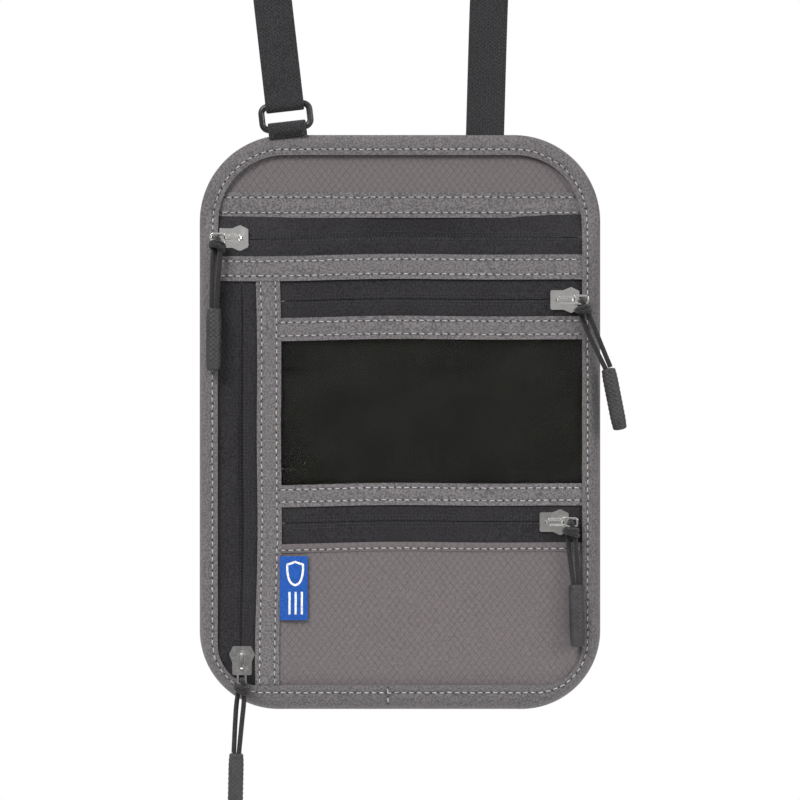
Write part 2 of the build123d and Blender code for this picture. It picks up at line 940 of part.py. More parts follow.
with BuildPart() as strap_ring:
    ring_half = (ring_inner_width + ring_wire) / 2
    ring_rise = (ring_high - ring_low) / 2
    with BuildLine(leg_plane((ring_low + ring_high) / 2, 0)) as ring_line:
        FilletPolyline(
            (ring_half, -ring_rise),
            (ring_half, ring_rise),
            (-ring_half, ring_rise),
            (-ring_half, -ring_rise),
            radius=ring_corner,
            close=True,
        )
    ring_path = ring_line.wires()[0]
    with BuildSketch(Plane(origin=ring_path @ 0, z_dir=ring_path % 0)):
        Circle(ring_wire / 2)
    sweep()
save(strap_ring, "strap_ring")

with BuildPart() as tri_glide:
    with BuildSketch(leg_plane(glide_place, -glide_thickness / 2)):
        RectangleRounded(glide_width, glide_height, glide_round)
        slot_height = (glide_height - 3 * glide_bar) / 2
        slot_offset = (slot_height + glide_bar) / 2
        with Locations((0, slot_offset), (0, -slot_offset)):
            Rectangle(glide_width - 2 * glide_bar, slot_height, mode=Mode.SUBTRACT)
    extrude(amount=glide_thickness)
save(tri_glide, "tri_glide")
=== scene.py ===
"""Looks of a zipped neck pouch on a webbing strap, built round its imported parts.

Sizes are millimetres and become metres when a mesh is made. A place on the pouch is
its x, its height above the pouch's middle, and its depth in front of the strap's plane.
"""

import json
import logging
import math
from dataclasses import dataclass
from enum import Enum
from typing import Optional, Sequence, Union

import bmesh
import bpy
import numpy as np
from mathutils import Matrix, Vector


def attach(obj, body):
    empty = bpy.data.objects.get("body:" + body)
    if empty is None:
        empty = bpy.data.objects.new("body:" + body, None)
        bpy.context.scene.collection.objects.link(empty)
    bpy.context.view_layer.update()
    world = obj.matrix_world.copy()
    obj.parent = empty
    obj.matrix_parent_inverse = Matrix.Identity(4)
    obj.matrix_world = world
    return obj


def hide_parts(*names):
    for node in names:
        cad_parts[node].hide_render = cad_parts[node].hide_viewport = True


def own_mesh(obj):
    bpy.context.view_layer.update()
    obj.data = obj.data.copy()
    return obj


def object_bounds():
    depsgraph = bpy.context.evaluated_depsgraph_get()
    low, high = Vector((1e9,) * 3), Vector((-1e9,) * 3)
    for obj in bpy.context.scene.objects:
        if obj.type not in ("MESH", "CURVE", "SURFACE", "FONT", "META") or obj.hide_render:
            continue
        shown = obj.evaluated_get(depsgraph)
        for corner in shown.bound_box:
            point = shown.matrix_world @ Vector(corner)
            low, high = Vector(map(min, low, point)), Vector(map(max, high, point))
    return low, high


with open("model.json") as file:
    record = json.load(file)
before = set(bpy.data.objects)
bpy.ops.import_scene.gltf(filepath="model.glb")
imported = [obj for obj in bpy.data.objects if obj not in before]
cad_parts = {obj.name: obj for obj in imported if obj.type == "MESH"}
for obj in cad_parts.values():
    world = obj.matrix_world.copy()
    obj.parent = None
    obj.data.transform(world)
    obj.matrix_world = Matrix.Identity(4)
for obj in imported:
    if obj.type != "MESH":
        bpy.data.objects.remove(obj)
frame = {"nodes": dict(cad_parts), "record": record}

CAD_BOX = [list(corner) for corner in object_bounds()]

log = logging.getLogger("neck_pouch")
Array = np.ndarray
Colour = tuple[float, float, float]
Socket = bpy.types.NodeSocket
Value = Union[float, Socket]
MM = 0.001
FORWARD = np.array([0.0, -1.0, 0.0])
BACKWARD = np.array([0.0, 1.0, 0.0])
POUCH_Z = next(m["pos_m"][2] for m in frame["record"]["mounts"] if m["name"] == "back")


# ---- Meshes from arrays ----------------------------------------------------------


def at(x: Array, height: Array, depth: Array) -> Array:
    """Points in the frame, in metres.

    Args:
        x: Places across the pouch, in millimetres.
        height: Heights above the pouch's middle, in millimetres.
        depth: Depths in front of the strap's plane, in millimetres.

    Returns:
        An array whose last axis holds x, y and z.
    """
    x, height, depth = np.broadcast_arrays(x, height, depth)
    return np.stack([x * MM, -depth * MM, height * MM + POUCH_Z], axis=-1)


def unit(vectors: Array) -> Array:
    """Vectors made one long, along the last axis."""
    return vectors / np.maximum(np.linalg.norm(vectors, axis=-1, keepdims=True), 1e-12)


def smoothstep(value: Array, low: float, high: float) -> Array:
    """Smooth rise from 0 at low to 1 at high."""
    t = np.clip((value - low) / (high - low), 0.0, 1.0)
    return t * t * (3 - 2 * t)


def mesh_object(
    name: str, points: Array, quads: Array, loop_uv: Optional[Array] = None
) -> bpy.types.Object:
    """A mesh object from arrays, linked to the scene.

    Args:
        name: The piece's name.
        points: Vertices, in metres.
        quads: Four vertex numbers for each face.
        loop_uv: A UV for each corner of each face.

    Returns:
        The new object.
    """
    mesh = bpy.data.meshes.new(name)
    mesh.vertices.add(len(points))
    mesh.vertices.foreach_set("co", points.astype(np.float32).ravel())
    mesh.loops.add(quads.size)
    mesh.loops.foreach_set("vertex_index", quads.astype(np.int32).ravel())
    mesh.polygons.add(len(quads))
    mesh.polygons.foreach_set("loop_start", np.arange(0, quads.size, 4, dtype=np.int32))
    if loop_uv is not None:
        layer = mesh.uv_layers.new(name="UVMap")
        layer.data.foreach_set("uv", loop_uv.astype(np.float32).ravel())
    mesh.update(calc_edges=True)
    made = bpy.data.objects.new(name, mesh)
    bpy.context.scene.collection.objects.link(made)
    return made


def weld(piece: bpy.types.Object, sharp_degrees: float = 50.0) -> bpy.types.Object:
    """Merges doubled vertices, turns the faces outwards and shades them smooth.

    Args:
        piece: The mesh object to mend.
        sharp_degrees: Edges that turn more than this stay sharp.

    Returns:
        The same object.
    """
    mesh = bmesh.new()
    mesh.from_mesh(piece.data)
    bmesh.ops.remove_doubles(mesh, verts=mesh.verts, dist=1e-6)
    bmesh.ops.recalc_face_normals(mesh, faces=mesh.faces)
    mesh.to_mesh(piece.data)
    mesh.free()
    piece.data.polygons.foreach_set("use_smooth", np.ones(len(piece.data.polygons), dtype=bool))
    piece.data.set_sharp_from_angle(angle=math.radians(sharp_degrees))
    return piece


def grid(
    name: str, points: Array, uv: Optional[Array] = None, wrap_u: bool = False, wrap_v: bool = False
) -> bpy.types.Object:
    """A surface over a grid of points, welded and turned outwards.

    Args:
        name: The piece's name.
        points: Rows and columns of points, in metres.
        uv: A UV for each point, with one more row or column where that way wraps.
        wrap_u: Whether the last column joins the first.
        wrap_v: Whether the last row joins the first.

    Returns:
        The new object.
    """
    rows, columns = points.shape[:2]
    down = np.arange(rows if wrap_v else rows - 1)
    across = np.arange(columns if wrap_u else columns - 1)
    row, column = np.meshgrid(down, across, indexing="ij")
    below, beside = row + 1, column + 1
    quads = np.stack(
        [
            row * columns + column,
            row * columns + beside % columns,
            (below % rows) * columns + beside % columns,
            (below % rows) * columns + column,
        ],
        axis=-1,
    ).reshape(-1, 4)
    loop_uv = None
    if uv is not None:
        corners = [uv[row, column], uv[row, beside], uv[below, beside], uv[below, column]]
        loop_uv = np.stack(corners, axis=2).reshape(-1, 2)
    return weld(mesh_object(name, points.reshape(-1, 3), quads, loop_uv))


def slab(name: str, x: Array, height: Array, front: Array, thickness: float) -> bpy.types.Object:
    """A closed thin layer: a front grid, a back grid behind it, and pinched edges.

    Args:
        name: The piece's name.
        x: Grid of places across the pouch.
        height: Grid of heights.
        front: Grid of the depths of the layer's face.
        thickness: The layer's thickness.

    Returns:
        The new object.
    """
    back = front - thickness
    there_and_back = [np.hstack([x, x[:, ::-1]]), np.hstack([height, height[:, ::-1]])]
    faces = at(*there_and_back, np.hstack([front, back[:, ::-1]]))
    ends = []
    for row in (0, -1):
        middle = at(x[row], height[row], front[row] - thickness / 2)
        ends.append(np.concatenate([middle, middle[::-1]])[None])
    return grid(name, np.concatenate([ends[0], faces, ends[1]]), wrap_u=True)


def sweep(
    name: str,
    centre: Array,
    side: Array,
    profile: Array,
    closed: bool = False,
    up: Optional[Array] = None,
) -> bpy.types.Object:
    """A profile carried along a line, with a UV of metres round it and along it.

    Args:
        name: The piece's name.
        centre: Points of the line, in metres.
        side: The profile's first direction at each point.
        profile: Closed outline in millimetres, one for all the points or one each.
        closed: Whether the line joins up with itself.
        up: The profile's second direction, square to the line and to side unless given.

    Returns:
        The new object.
    """
    if up is None:
        up = np.cross(tangents(centre, closed), side)
    profile = np.broadcast_to(profile, (len(centre),) + profile.shape[-2:]) * MM
    points = centre[:, None] + side[:, None] * profile[..., :1] + up[:, None] * profile[..., 1:]
    if not closed:
        points = np.concatenate([points[:1] * 0 + centre[0], points, points[:1] * 0 + centre[-1]])
    ring = np.concatenate([points, points[:, :1]], axis=1)
    girth = np.linalg.norm(np.diff(ring, axis=1), axis=2)
    around = np.concatenate([np.zeros((len(ring), 1)), np.cumsum(girth, axis=1)], axis=1)
    around = np.broadcast_to(np.median(around, axis=0), around.shape)
    middle = points.mean(axis=1)
    along = np.concatenate([[0.0], np.cumsum(np.linalg.norm(np.diff(middle, axis=0), axis=1))])
    uv = np.stack([around, np.broadcast_to(along[:, None], around.shape)], axis=-1)
    if closed:
        uv = np.concatenate([uv, uv[-1:] + (0.0, along[1])])
    return grid(name, points, uv, wrap_u=True, wrap_v=closed)


def laid(name: str, line: Array, profile: Array) -> bpy.types.Object:
    """A profile carried along a line over cloth that faces forward.

    Args:
        name: The piece's name.
        line: Points of the line, in metres.
        profile: Closed outline in millimetres.

    Returns:
        The new object.
    """
    facing = np.broadcast_to(FORWARD, line.shape)
    return sweep(name, line, unit(np.cross(tangents(line), facing)), profile, up=facing)


def circle(radius: float, sides: int) -> Array:
    """Outline of a circle, in millimetres."""
    angle = np.arange(sides) * 2 * math.pi / sides
    return radius * np.stack([np.cos(angle), np.sin(angle)], axis=-1)


def flat_bar(width: float, thickness: float, steps: int = 12) -> Array:
    """Outline of a flat bar with rounded edges and points along its faces."""
    flat = (width - thickness) / 2
    turn = np.linspace(-math.pi / 2, math.pi / 2, 7)
    edge = np.stack([flat + thickness / 2 * np.cos(turn), thickness / 2 * np.sin(turn)], axis=-1)
    face = np.stack([np.linspace(flat, -flat, steps)[1:-1], np.full(steps - 2, thickness / 2)], axis=-1)
    return np.concatenate([edge, face, -edge, -face])


def tangents(line: Array, closed: bool = False) -> Array:
    """Unit direction at each point of a line."""
    if closed:
        return unit(np.roll(line, -1, axis=0) - np.roll(line, 1, axis=0))
    return unit(np.gradient(line, axis=0))


def arc_lengths(line: Array) -> Array:
    """Length along a line to each of its points."""
    return np.concatenate([[0.0], np.cumsum(np.linalg.norm(np.diff(line, axis=0), axis=1))])


def resample(line: Array, places: Array) -> Array:
    """Points at given lengths along a line."""
    lengths = arc_lengths(line)
    columns = [np.interp(places, lengths, column) for column in line.T]
    return np.stack(columns, axis=-1)


def route_line(route: Array, spacing: float) -> Array:
    """Evenly spaced points of the smooth line that a route controls.

    Args:
        route: The route's points, in metres.
        spacing: Wanted distance between points, in millimetres.

    Returns:
        The points, read from a quadratic NURBS spline that ends on the route's ends.
    """
    curve = bpy.data.curves.new("route", "CURVE")
    curve.dimensions = "3D"
    spline = curve.splines.new("NURBS")
    spline.points.add(len(route) - 1)
    spline.points.foreach_set("co", np.hstack([route, np.ones((len(route), 1))]).ravel())
    spline.order_u = 3
    spline.use_endpoint_u = True
    spline.resolution_u = 24
    holder = bpy.data.objects.new("route", curve)
    bpy.context.scene.collection.objects.link(holder)
    graph = bpy.context.evaluated_depsgraph_get()
    mesh = bpy.data.meshes.new_from_object(holder.evaluated_get(graph))
    line = np.zeros(len(mesh.vertices) * 3)
    mesh.vertices.foreach_get("co", line)
    bpy.data.objects.remove(holder)
    bpy.data.meshes.remove(mesh)
    bpy.data.curves.remove(curve)
    line = line.reshape(-1, 3)
    total = arc_lengths(line)[-1]
    return resample(line, np.linspace(0.0, total, max(int(total / (spacing * MM)), 8) + 1))


def softened(node: str, name: str, width: float, segments: int = 3) -> bpy.types.Object:
    """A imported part's shape with its edges rounded.

    Args:
        node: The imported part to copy.
        name: The new piece's name.
        width: Width of the rounding, in millimetres.
        segments: Steps in the rounding.

    Returns:
        The new object, which stands for the node.
    """
    made = bpy.data.objects.new(name, frame["nodes"][node].data.copy())
    bpy.context.scene.collection.objects.link(made)
    mesh = bmesh.new()
    mesh.from_mesh(made.data)
    bmesh.ops.remove_doubles(mesh, verts=mesh.verts, dist=2e-6)
    bmesh.ops.dissolve_limit(mesh, angle_limit=math.radians(1.0), verts=mesh.verts, edges=mesh.edges)
    mesh.to_mesh(made.data)
    mesh.free()
    bevel = made.modifiers.new("edges", "BEVEL")
    bevel.width = width * MM
    bevel.segments = segments
    bevel.limit_method = "ANGLE"
    bevel.angle_limit = math.radians(35)
    bevel.harden_normals = True
    made.data.polygons.foreach_set("use_smooth", np.ones(len(made.data.polygons), dtype=bool))
    made.data.set_sharp_from_angle(angle=math.radians(30))
    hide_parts(node)
    return made


def dress(
    piece: bpy.types.Object, finish: bpy.types.Material, body: str
) -> bpy.types.Object:
    """Gives a piece its finish and its body.

    Args:
        piece: The finished piece.
        finish: Its material.
        body: The body that it moves with.

    Returns:
        The same object.
    """
    piece.data.materials.clear()
    piece.data.materials.append(finish)
    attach(piece, body)
    log.info("%s: %d faces on %s", piece.name, len(piece.data.polygons), body)
    return piece


# ---- Node trees ---------------------------------------------------------------------


class Tree:
    """Short calls for adding nodes to one tree."""

    def __init__(self, tree: bpy.types.NodeTree) -> None:
        """Keeps the tree to add to."""
        self.tree = tree

    def node(self, kind: str, **settings: object) -> bpy.types.Node:
        """Adds a node and sets its properties."""
        made = self.tree.nodes.new(kind)
        for key, value in settings.items():
            setattr(made, key, value)
        return made

    def put(self, target: Socket, value: object) -> None:
        """Links a socket, or sets a plain value."""
        if isinstance(value, bpy.types.NodeSocket):
            self.tree.links.new(value, target)
        else:
            target.default_value = value

    def math(self, operation: str, first: Value, second: Value = 0.0) -> Socket:
        """One step of arithmetic."""
        made = self.node("ShaderNodeMath", operation=operation)
        self.put(made.inputs[0], first)
        self.put(made.inputs[1], second)
        return made.outputs[0]

    def multiply_add(self, first: Value, second: Value, third: Value) -> Socket:
        """First times second, plus third."""
        made = self.node("ShaderNodeMath", operation="MULTIPLY_ADD")
        for socket, setting in zip(made.inputs, (first, second, third)):
            self.put(socket, setting)
        return made.outputs[0]

    def ramp(
        self, value: Value, low: float, high: float, start: float = 0.0, end: float = 1.0
    ) -> Socket:
        """Smooth change from start to end as a value goes from low to high."""
        made = self.node("ShaderNodeMapRange", interpolation_type="SMOOTHSTEP")
        for socket, setting in zip(made.inputs[:5], (value, low, high, start, end)):
            self.put(socket, setting)
        return made.outputs[0]

    def mix(self, share: Value, first: object, second: object) -> Socket:
        """Colour between two colours."""
        made = self.node("ShaderNodeMix", data_type="RGBA")
        self.put(made.inputs[0], share)
        self.put(made.inputs[6], first)
        self.put(made.inputs[7], second)
        return made.outputs[2]

    def noise(self, vector: Value, scale: float, detail: float = 2.0) -> Socket:
        """Noise from 0 to 1."""
        made = self.node("ShaderNodeTexNoise")
        self.put(made.inputs["Vector"], vector)
        made.inputs["Scale"].default_value = scale
        made.inputs["Detail"].default_value = detail
        return made.outputs["Fac"]

    def wear(
        self, shader: bpy.types.Node, blotch: Socket, roughness: float, less: float, more: float
    ) -> None:
        """Lets a shader's roughness change with blotches that go from 0 to 1."""
        value = self.ramp(blotch, 0.0, 1.0, roughness - less, roughness + more)
        self.put(shader.inputs["Roughness"], value)

    def bump(
        self, shader: bpy.types.Node, height: Socket, strength: float, distance: float
    ) -> None:
        """Gives a shader's surface a relief, whose distance is in millimetres."""
        made = self.node("ShaderNodeBump")
        made.inputs["Strength"].default_value = strength
        made.inputs["Distance"].default_value = distance * MM
        self.put(made.inputs["Height"], height)
        self.put(shader.inputs["Normal"], made.outputs["Normal"])

    def call(self, group: bpy.types.NodeTree, **values: object) -> bpy.types.Node:
        """Places a node group and fills in its inputs."""
        made = self.node("ShaderNodeGroup", node_tree=group)
        for key, value in values.items():
            self.put(made.inputs[key], value)
        return made


def new_group(
    name: str, inputs: dict[str, float], outputs: Sequence[str]
) -> tuple[Tree, dict[str, Socket], Socket]:
    """Starts a shader node group whose sockets are all numbers.

    Args:
        name: The group's name.
        inputs: Each input's name and its usual value.
        outputs: The names of the outputs.

    Returns:
        The group's tree, its input sockets by name, and its output node's sockets.
    """
    tree = bpy.data.node_groups.new(name, "ShaderNodeTree")
    for key, value in inputs.items():
        socket = tree.interface.new_socket(name=key, in_out="INPUT", socket_type="NodeSocketFloat")
        socket.default_value = value
    for key in outputs:
        tree.interface.new_socket(name=key, in_out="OUTPUT", socket_type="NodeSocketFloat")
    made = Tree(tree)
    source = made.node("NodeGroupInput")
    return made, {key: source.outputs[key] for key in inputs}, made.node("NodeGroupOutput").inputs


class Groups:
    """The effects that several finishes share, each built once."""

    def __init__(self) -> None:
        """Builds every group."""
        self.weave = self.build_weave()
        self.diamonds = self.build_diamonds()
        self.braid = self.build_braid()
        self.fibres = self.build_fibres()

    @staticmethod
    def build_weave() -> bpy.types.NodeTree:
        """Plain weave: crowns of crossing threads, as a product of two sine waves."""
        inputs = {"Across": 0.0, "Along": 0.0, "Pitch": 0.5, "Stretch": 1.0}
        tree, source, target = new_group("thread_weave", inputs, ["Height"])
        turn = tree.math("DIVIDE", math.pi / MM, source["Pitch"])
        across = tree.math("SINE", tree.math("MULTIPLY", source["Across"], turn))
        slower = tree.math("DIVIDE", turn, source["Stretch"])
        along = tree.math("SINE", tree.math("MULTIPLY", source["Along"], slower))
        crown = tree.multiply_add(tree.math("MULTIPLY", across, along), 0.5, 0.5)
        tree.put(target["Height"], crown)
        return tree.tree

    @staticmethod
    def build_diamonds() -> bpy.types.NodeTree:
        """Two families of thick threads that lean opposite ways and make diamonds."""
        inputs = {"Across": 0.0, "Along": 0.0, "Pitch": 3.7, "Lean": 1.32}
        tree, source, target = new_group("ripstop_threads", inputs, ["Line"])
        steps = tree.math("DIVIDE", 1 / MM, source["Pitch"])
        across = tree.math("MULTIPLY", source["Across"], steps)
        across = tree.math("MULTIPLY", across, source["Lean"])
        along = tree.math("MULTIPLY", source["Along"], steps)
        lines = []
        for operation in ("ADD", "SUBTRACT"):
            part = tree.math("FRACT", tree.math(operation, across, along))
            middle = tree.math("ABSOLUTE", tree.math("SUBTRACT", part, 0.5))
            lines.append(tree.ramp(middle, 0.015, 0.07, 1.0, 0.0))
        tree.put(target["Line"], tree.math("MAXIMUM", lines[0], lines[1]))
        return tree.tree

    @staticmethod
    def build_braid() -> bpy.types.NodeTree:
        """Braid: strands that spiral both ways round a cord and cross."""
        inputs = {"Across": 0.0, "Along": 0.0, "Pitch": 1.4}
        tree, source, target = new_group("cord_braid", inputs, ["Height"])
        turn = tree.math("DIVIDE", math.pi / MM, source["Pitch"])
        across = tree.math("MULTIPLY", source["Across"], turn)
        along = tree.math("MULTIPLY", source["Along"], turn)
        first = tree.math("ABSOLUTE", tree.math("SINE", tree.math("ADD", across, along)))
        second = tree.math("ABSOLUTE", tree.math("SINE", tree.math("SUBTRACT", across, along)))
        tree.put(target["Height"], tree.math("MULTIPLY", first, second))
        return tree.tree

    @staticmethod
    def build_fibres() -> bpy.types.NodeTree:
        """Uneven dye, slubs and settled dust, as two kinds of noise."""
        inputs = {"Size": 12.0, "Slub": 0.7}
        tree, source, target = new_group("cloth_fibres", inputs, ["Blotch", "Fuzz"])
        spot = tree.node("ShaderNodeTexCoord").outputs["Object"]
        blotch = tree.noise(spot, 1.0, 3.0)
        tree.put(blotch.node.inputs["Scale"], tree.math("DIVIDE", 1 / MM, source["Size"]))
        tree.put(target["Blotch"], tree.ramp(blotch, 0.3, 0.7))
        fuzz = tree.noise(spot, 1.0, 2.0)
        tree.put(fuzz.node.inputs["Scale"], tree.math("DIVIDE", 1 / MM, source["Slub"]))
        tree.put(target["Fuzz"], tree.ramp(fuzz, 0.32, 0.68))
        return tree.tree


# ---- Finishes -------------------------------------------------------------------------


class Pattern(Enum):
    """How a cloth is made."""

    PLAIN = "plain weave"
    RIPSTOP = "plain weave with thick leaning threads"
    RIBBED = "webbing with ribs along it"
    BRAID = "round braid"


class Coordinates(Enum):
    """What a pattern follows."""

    FACE = "the flat of the pouch"
    MESH = "the piece's own UV map"


def new_material(name: str) -> tuple[bpy.types.Material, Tree, bpy.types.Node]:
    """A material with its tree and its main shader."""
    made = bpy.data.materials.new(name)
    made.use_nodes = True
    tree = Tree(made.node_tree)
    return made, tree, made.node_tree.nodes["Principled BSDF"]


def shade(colour: Colour, factor: float) -> tuple[float, float, float, float]:
    """A colour made lighter or darker, with full alpha."""
    return (colour[0] * factor, colour[1] * factor, colour[2] * factor, 1.0)


@dataclass(frozen=True)
class Cloth:
    """A woven finish; its pitch and its relief are in millimetres."""

    name: str
    colour: Colour
    pattern: Pattern
    pitch: float
    coordinates: Coordinates = Coordinates.FACE
    stretch: float = 1.0
    roughness: float = 0.82
    sheen: float = 0.15
    # How much the threads' crowns are painted lighter and their valleys painted darker, as painted
    # highlight and painted shade on the weave.
    thread_shading: float = 0.22
    blotches: float = 0.12
    slubs: float = 0.4
    relief: float = 0.12

    def places(self, tree: Tree) -> tuple[Socket, Socket]:
        """Coordinates across and along the threads.

        Args:
            tree: The material's tree.

        Returns:
            Two numbers, in metres.
        """
        source = tree.node("ShaderNodeTexCoord")
        split = tree.node("ShaderNodeSeparateXYZ")
        if self.coordinates is Coordinates.MESH:
            tree.put(split.inputs[0], source.outputs["UV"])
            return split.outputs["X"], split.outputs["Y"]
        tree.put(split.inputs[0], source.outputs["Object"])
        return split.outputs["X"], split.outputs["Z"]

    def build(self, groups: Groups) -> bpy.types.Material:
        """Makes the material.

        Args:
            groups: The shared node groups.

        Returns:
            The material.
        """
        made, tree, shader = new_material(self.name)
        across, along = self.places(tree)
        if self.pattern is Pattern.BRAID:
            woven = tree.call(groups.braid, Across=across, Along=along, Pitch=self.pitch)
        else:
            woven = tree.call(
                groups.weave, Across=across, Along=along, Pitch=self.pitch, Stretch=self.stretch
            )
        threads = woven.outputs["Height"]
        fibres = tree.call(groups.fibres)
        # Painted shade in the valleys between threads and painted highlight on their crowns, mixed by
        # the weave's height.
        shaded_valley, crown = shade(self.colour, 1 - self.thread_shading), shade(self.colour, 1 + self.thread_shading)
        base = tree.mix(threads, shaded_valley, crown)
        height = threads
        if self.pattern is Pattern.RIBBED:
            rib_width = 1.07 * MM
            rib = tree.math("SINE", tree.math("MULTIPLY", across, math.pi / rib_width))
            rise = tree.math("ABSOLUTE", rib)
            height = tree.multiply_add(rise, 1.3, threads)
            # Painted shade in the grooves between the ribs.
            rib_groove_shade = tree.ramp(rise, 0.0, 0.5, 0.6, 0.0)
            base = tree.mix(rib_groove_shade, base, shade(self.colour, 0.35))
        if self.pattern is Pattern.RIPSTOP:
            line = tree.call(groups.diamonds, Across=across, Along=along).outputs["Line"]
            base = tree.mix(tree.math("MULTIPLY", line, 0.8), base, shade(self.colour, 0.45))
            height = tree.multiply_add(line, 2.2, threads)
        blotch = tree.math("MULTIPLY", fibres.outputs["Blotch"], self.blotches * 2)
        base = tree.mix(blotch, base, shade(self.colour, 1.25))
        light, dark = shade(self.colour, 1 + self.slubs), shade(self.colour, 1 - self.slubs)
        speckle = tree.mix(fibres.outputs["Fuzz"], dark, light)
        tree.put(shader.inputs["Base Color"], tree.mix(0.6, base, speckle))
        tree.wear(shader, fibres.outputs["Blotch"], self.roughness, 0.06, 0.06)
        shader.inputs["Sheen Weight"].default_value = self.sheen
        shader.inputs["Sheen Roughness"].default_value = 0.5
        shader.inputs["Specular IOR Level"].default_value = 0.25
        tree.bump(shader, height, 0.75, self.relief)
        return made


@dataclass(frozen=True)
class Plated:
    """Bright plated metal with rubbed, slightly dull patches."""

    name: str
    colour: Colour
    roughness: float = 0.22

    def build(self, groups: Groups) -> bpy.types.Material:
        """Makes the material.

        Args:
            groups: The shared node groups.

        Returns:
            The material.
        """
        made, tree, shader = new_material(self.name)
        fibres = tree.call(groups.fibres, Size=2.5)
        blotch = fibres.outputs["Blotch"]
        dull, bright = shade(self.colour, 0.94), shade(self.colour, 1.04)
        tree.put(shader.inputs["Base Color"], tree.mix(blotch, dull, bright))
        tree.wear(shader, blotch, self.roughness, 0.04, 0.05)
        shader.inputs["Metallic"].default_value = 1.0
        tree.bump(shader, fibres.outputs["Fuzz"], 0.06, 0.02)
        return made


@dataclass(frozen=True)
class Moulded:
    """Moulded plastic or rubber with a fine grain."""

    name: str
    colour: Colour
    roughness: float = 0.5
    grain: float = 0.04

    def build(self, groups: Groups) -> bpy.types.Material:
        """Makes the material.

        Args:
            groups: The shared node groups.

        Returns:
            The material.
        """
        made, tree, shader = new_material(self.name)
        fibres = tree.call(groups.fibres, Size=4.0)
        blotch = fibres.outputs["Blotch"]
        dark, dusty = shade(self.colour, 0.8), shade(self.colour, 1.25)
        tree.put(shader.inputs["Base Color"], tree.mix(blotch, dark, dusty))
        tree.wear(shader, blotch, self.roughness, 0.05, 0.1)
        tree.bump(shader, fibres.outputs["Fuzz"], 0.5, self.grain)
        return made


@dataclass(frozen=True)
class ClearFilm:
    """Clear flexible film with faint ripples and rub marks."""

    name: str
    tint: Colour
    roughness: float = 0.06

    def build(self, groups: Groups) -> bpy.types.Material:
        """Makes the material.

        Args:
            groups: The shared node groups.

        Returns:
            The material.
        """
        made, tree, shader = new_material(self.name)
        fibres = tree.call(groups.fibres, Size=9.0)
        shader.inputs["Base Color"].default_value = shade(self.tint, 1.0)
        tree.wear(shader, fibres.outputs["Blotch"], self.roughness, 0.03, 0.04)
        shader.inputs["Transmission Weight"].default_value = 1.0
        shader.inputs["IOR"].default_value = 1.16
        tree.bump(shader, fibres.outputs["Blotch"], 0.2, 0.1)
        return made


class Finishes:
    """Every material, built once."""

    def __init__(self, groups: Groups) -> None:
        """Builds the materials.

        Args:
            groups: The shared node groups.
        """
        plain, mesh = Pattern.PLAIN, Coordinates.MESH
        self.binding = Cloth(
            "binding_tape", (0.118, 0.110, 0.113), plain, pitch=0.55, slubs=0.6
        ).build(groups)
        self.trim = Cloth(
            "trim_tape", (0.132, 0.124, 0.128), plain, pitch=0.55, slubs=0.65
        ).build(groups)
        self.ripstop = Cloth(
            "ripstop",
            (0.138, 0.121, 0.124),
            Pattern.RIPSTOP,
            pitch=0.4,
            roughness=0.62,
            blotches=0.1,
            slubs=0.2,
        ).build(groups)
        self.lining = Cloth(
            "lining", (0.007, 0.007, 0.005), plain, pitch=0.5, sheen=0.0, slubs=0.6
        ).build(groups)
        self.zip_tape = Cloth(
            "zip_tape", (0.017, 0.0155, 0.0175), plain, pitch=0.9, stretch=2.2, sheen=0.08, slubs=0.75
        ).build(groups)
        self.coil = Moulded("zip_coil", (0.020, 0.020, 0.022), roughness=0.38).build(groups)
        self.thread = Cloth(
            "seam_thread", (0.40, 0.392, 0.39), plain, pitch=0.25, thread_shading=0.3
        ).build(groups)
        self.dark_thread = Cloth("dark_thread", (0.034, 0.032, 0.034), plain, pitch=0.25).build(groups)
        # Near-black dots that paint the shade in the needle holes.
        self.hole_shade = Moulded("needle_hole_shade", (0.02, 0.02, 0.02), roughness=0.9).build(groups)
        self.film = ClearFilm("clear_film", (0.98, 0.99, 0.98)).build(groups)
        self.shield = Plated("shield_film", (0.6, 0.6, 0.6), roughness=0.35).build(groups)
        self.label = Cloth(
            "woven_label", (0.004, 0.072, 0.34), plain, pitch=0.35, roughness=0.55
        ).build(groups)
        self.label_mark = Cloth("label_mark", (0.75, 0.76, 0.78), plain, pitch=0.35).build(groups)
        self.metal = Plated("slider_metal", (0.95, 0.94, 0.92), roughness=0.13).build(groups)
        self.cord = Cloth(
            "pull_cord",
            (0.022, 0.0205, 0.022),
            Pattern.BRAID,
            pitch=1.5,
            coordinates=mesh,
            thread_shading=0.45,
            relief=0.3,
        ).build(groups)
        self.grip = Moulded(
            "grip_rubber", (0.030, 0.028, 0.030), roughness=0.55, grain=0.08
        ).build(groups)
        self.webbing = Cloth(
            "webbing",
            (0.024, 0.024, 0.026),
            Pattern.RIBBED,
            pitch=0.9,
            coordinates=mesh,
            stretch=0.8,
            sheen=0.1,
            slubs=0.7,
            relief=0.22,
        ).build(groups)
        self.hardware = Moulded(
            "strap_hardware", (0.020, 0.020, 0.021), roughness=0.35
        ).build(groups)


# ---- Shape of the pouch -----------------------------------------------------------------


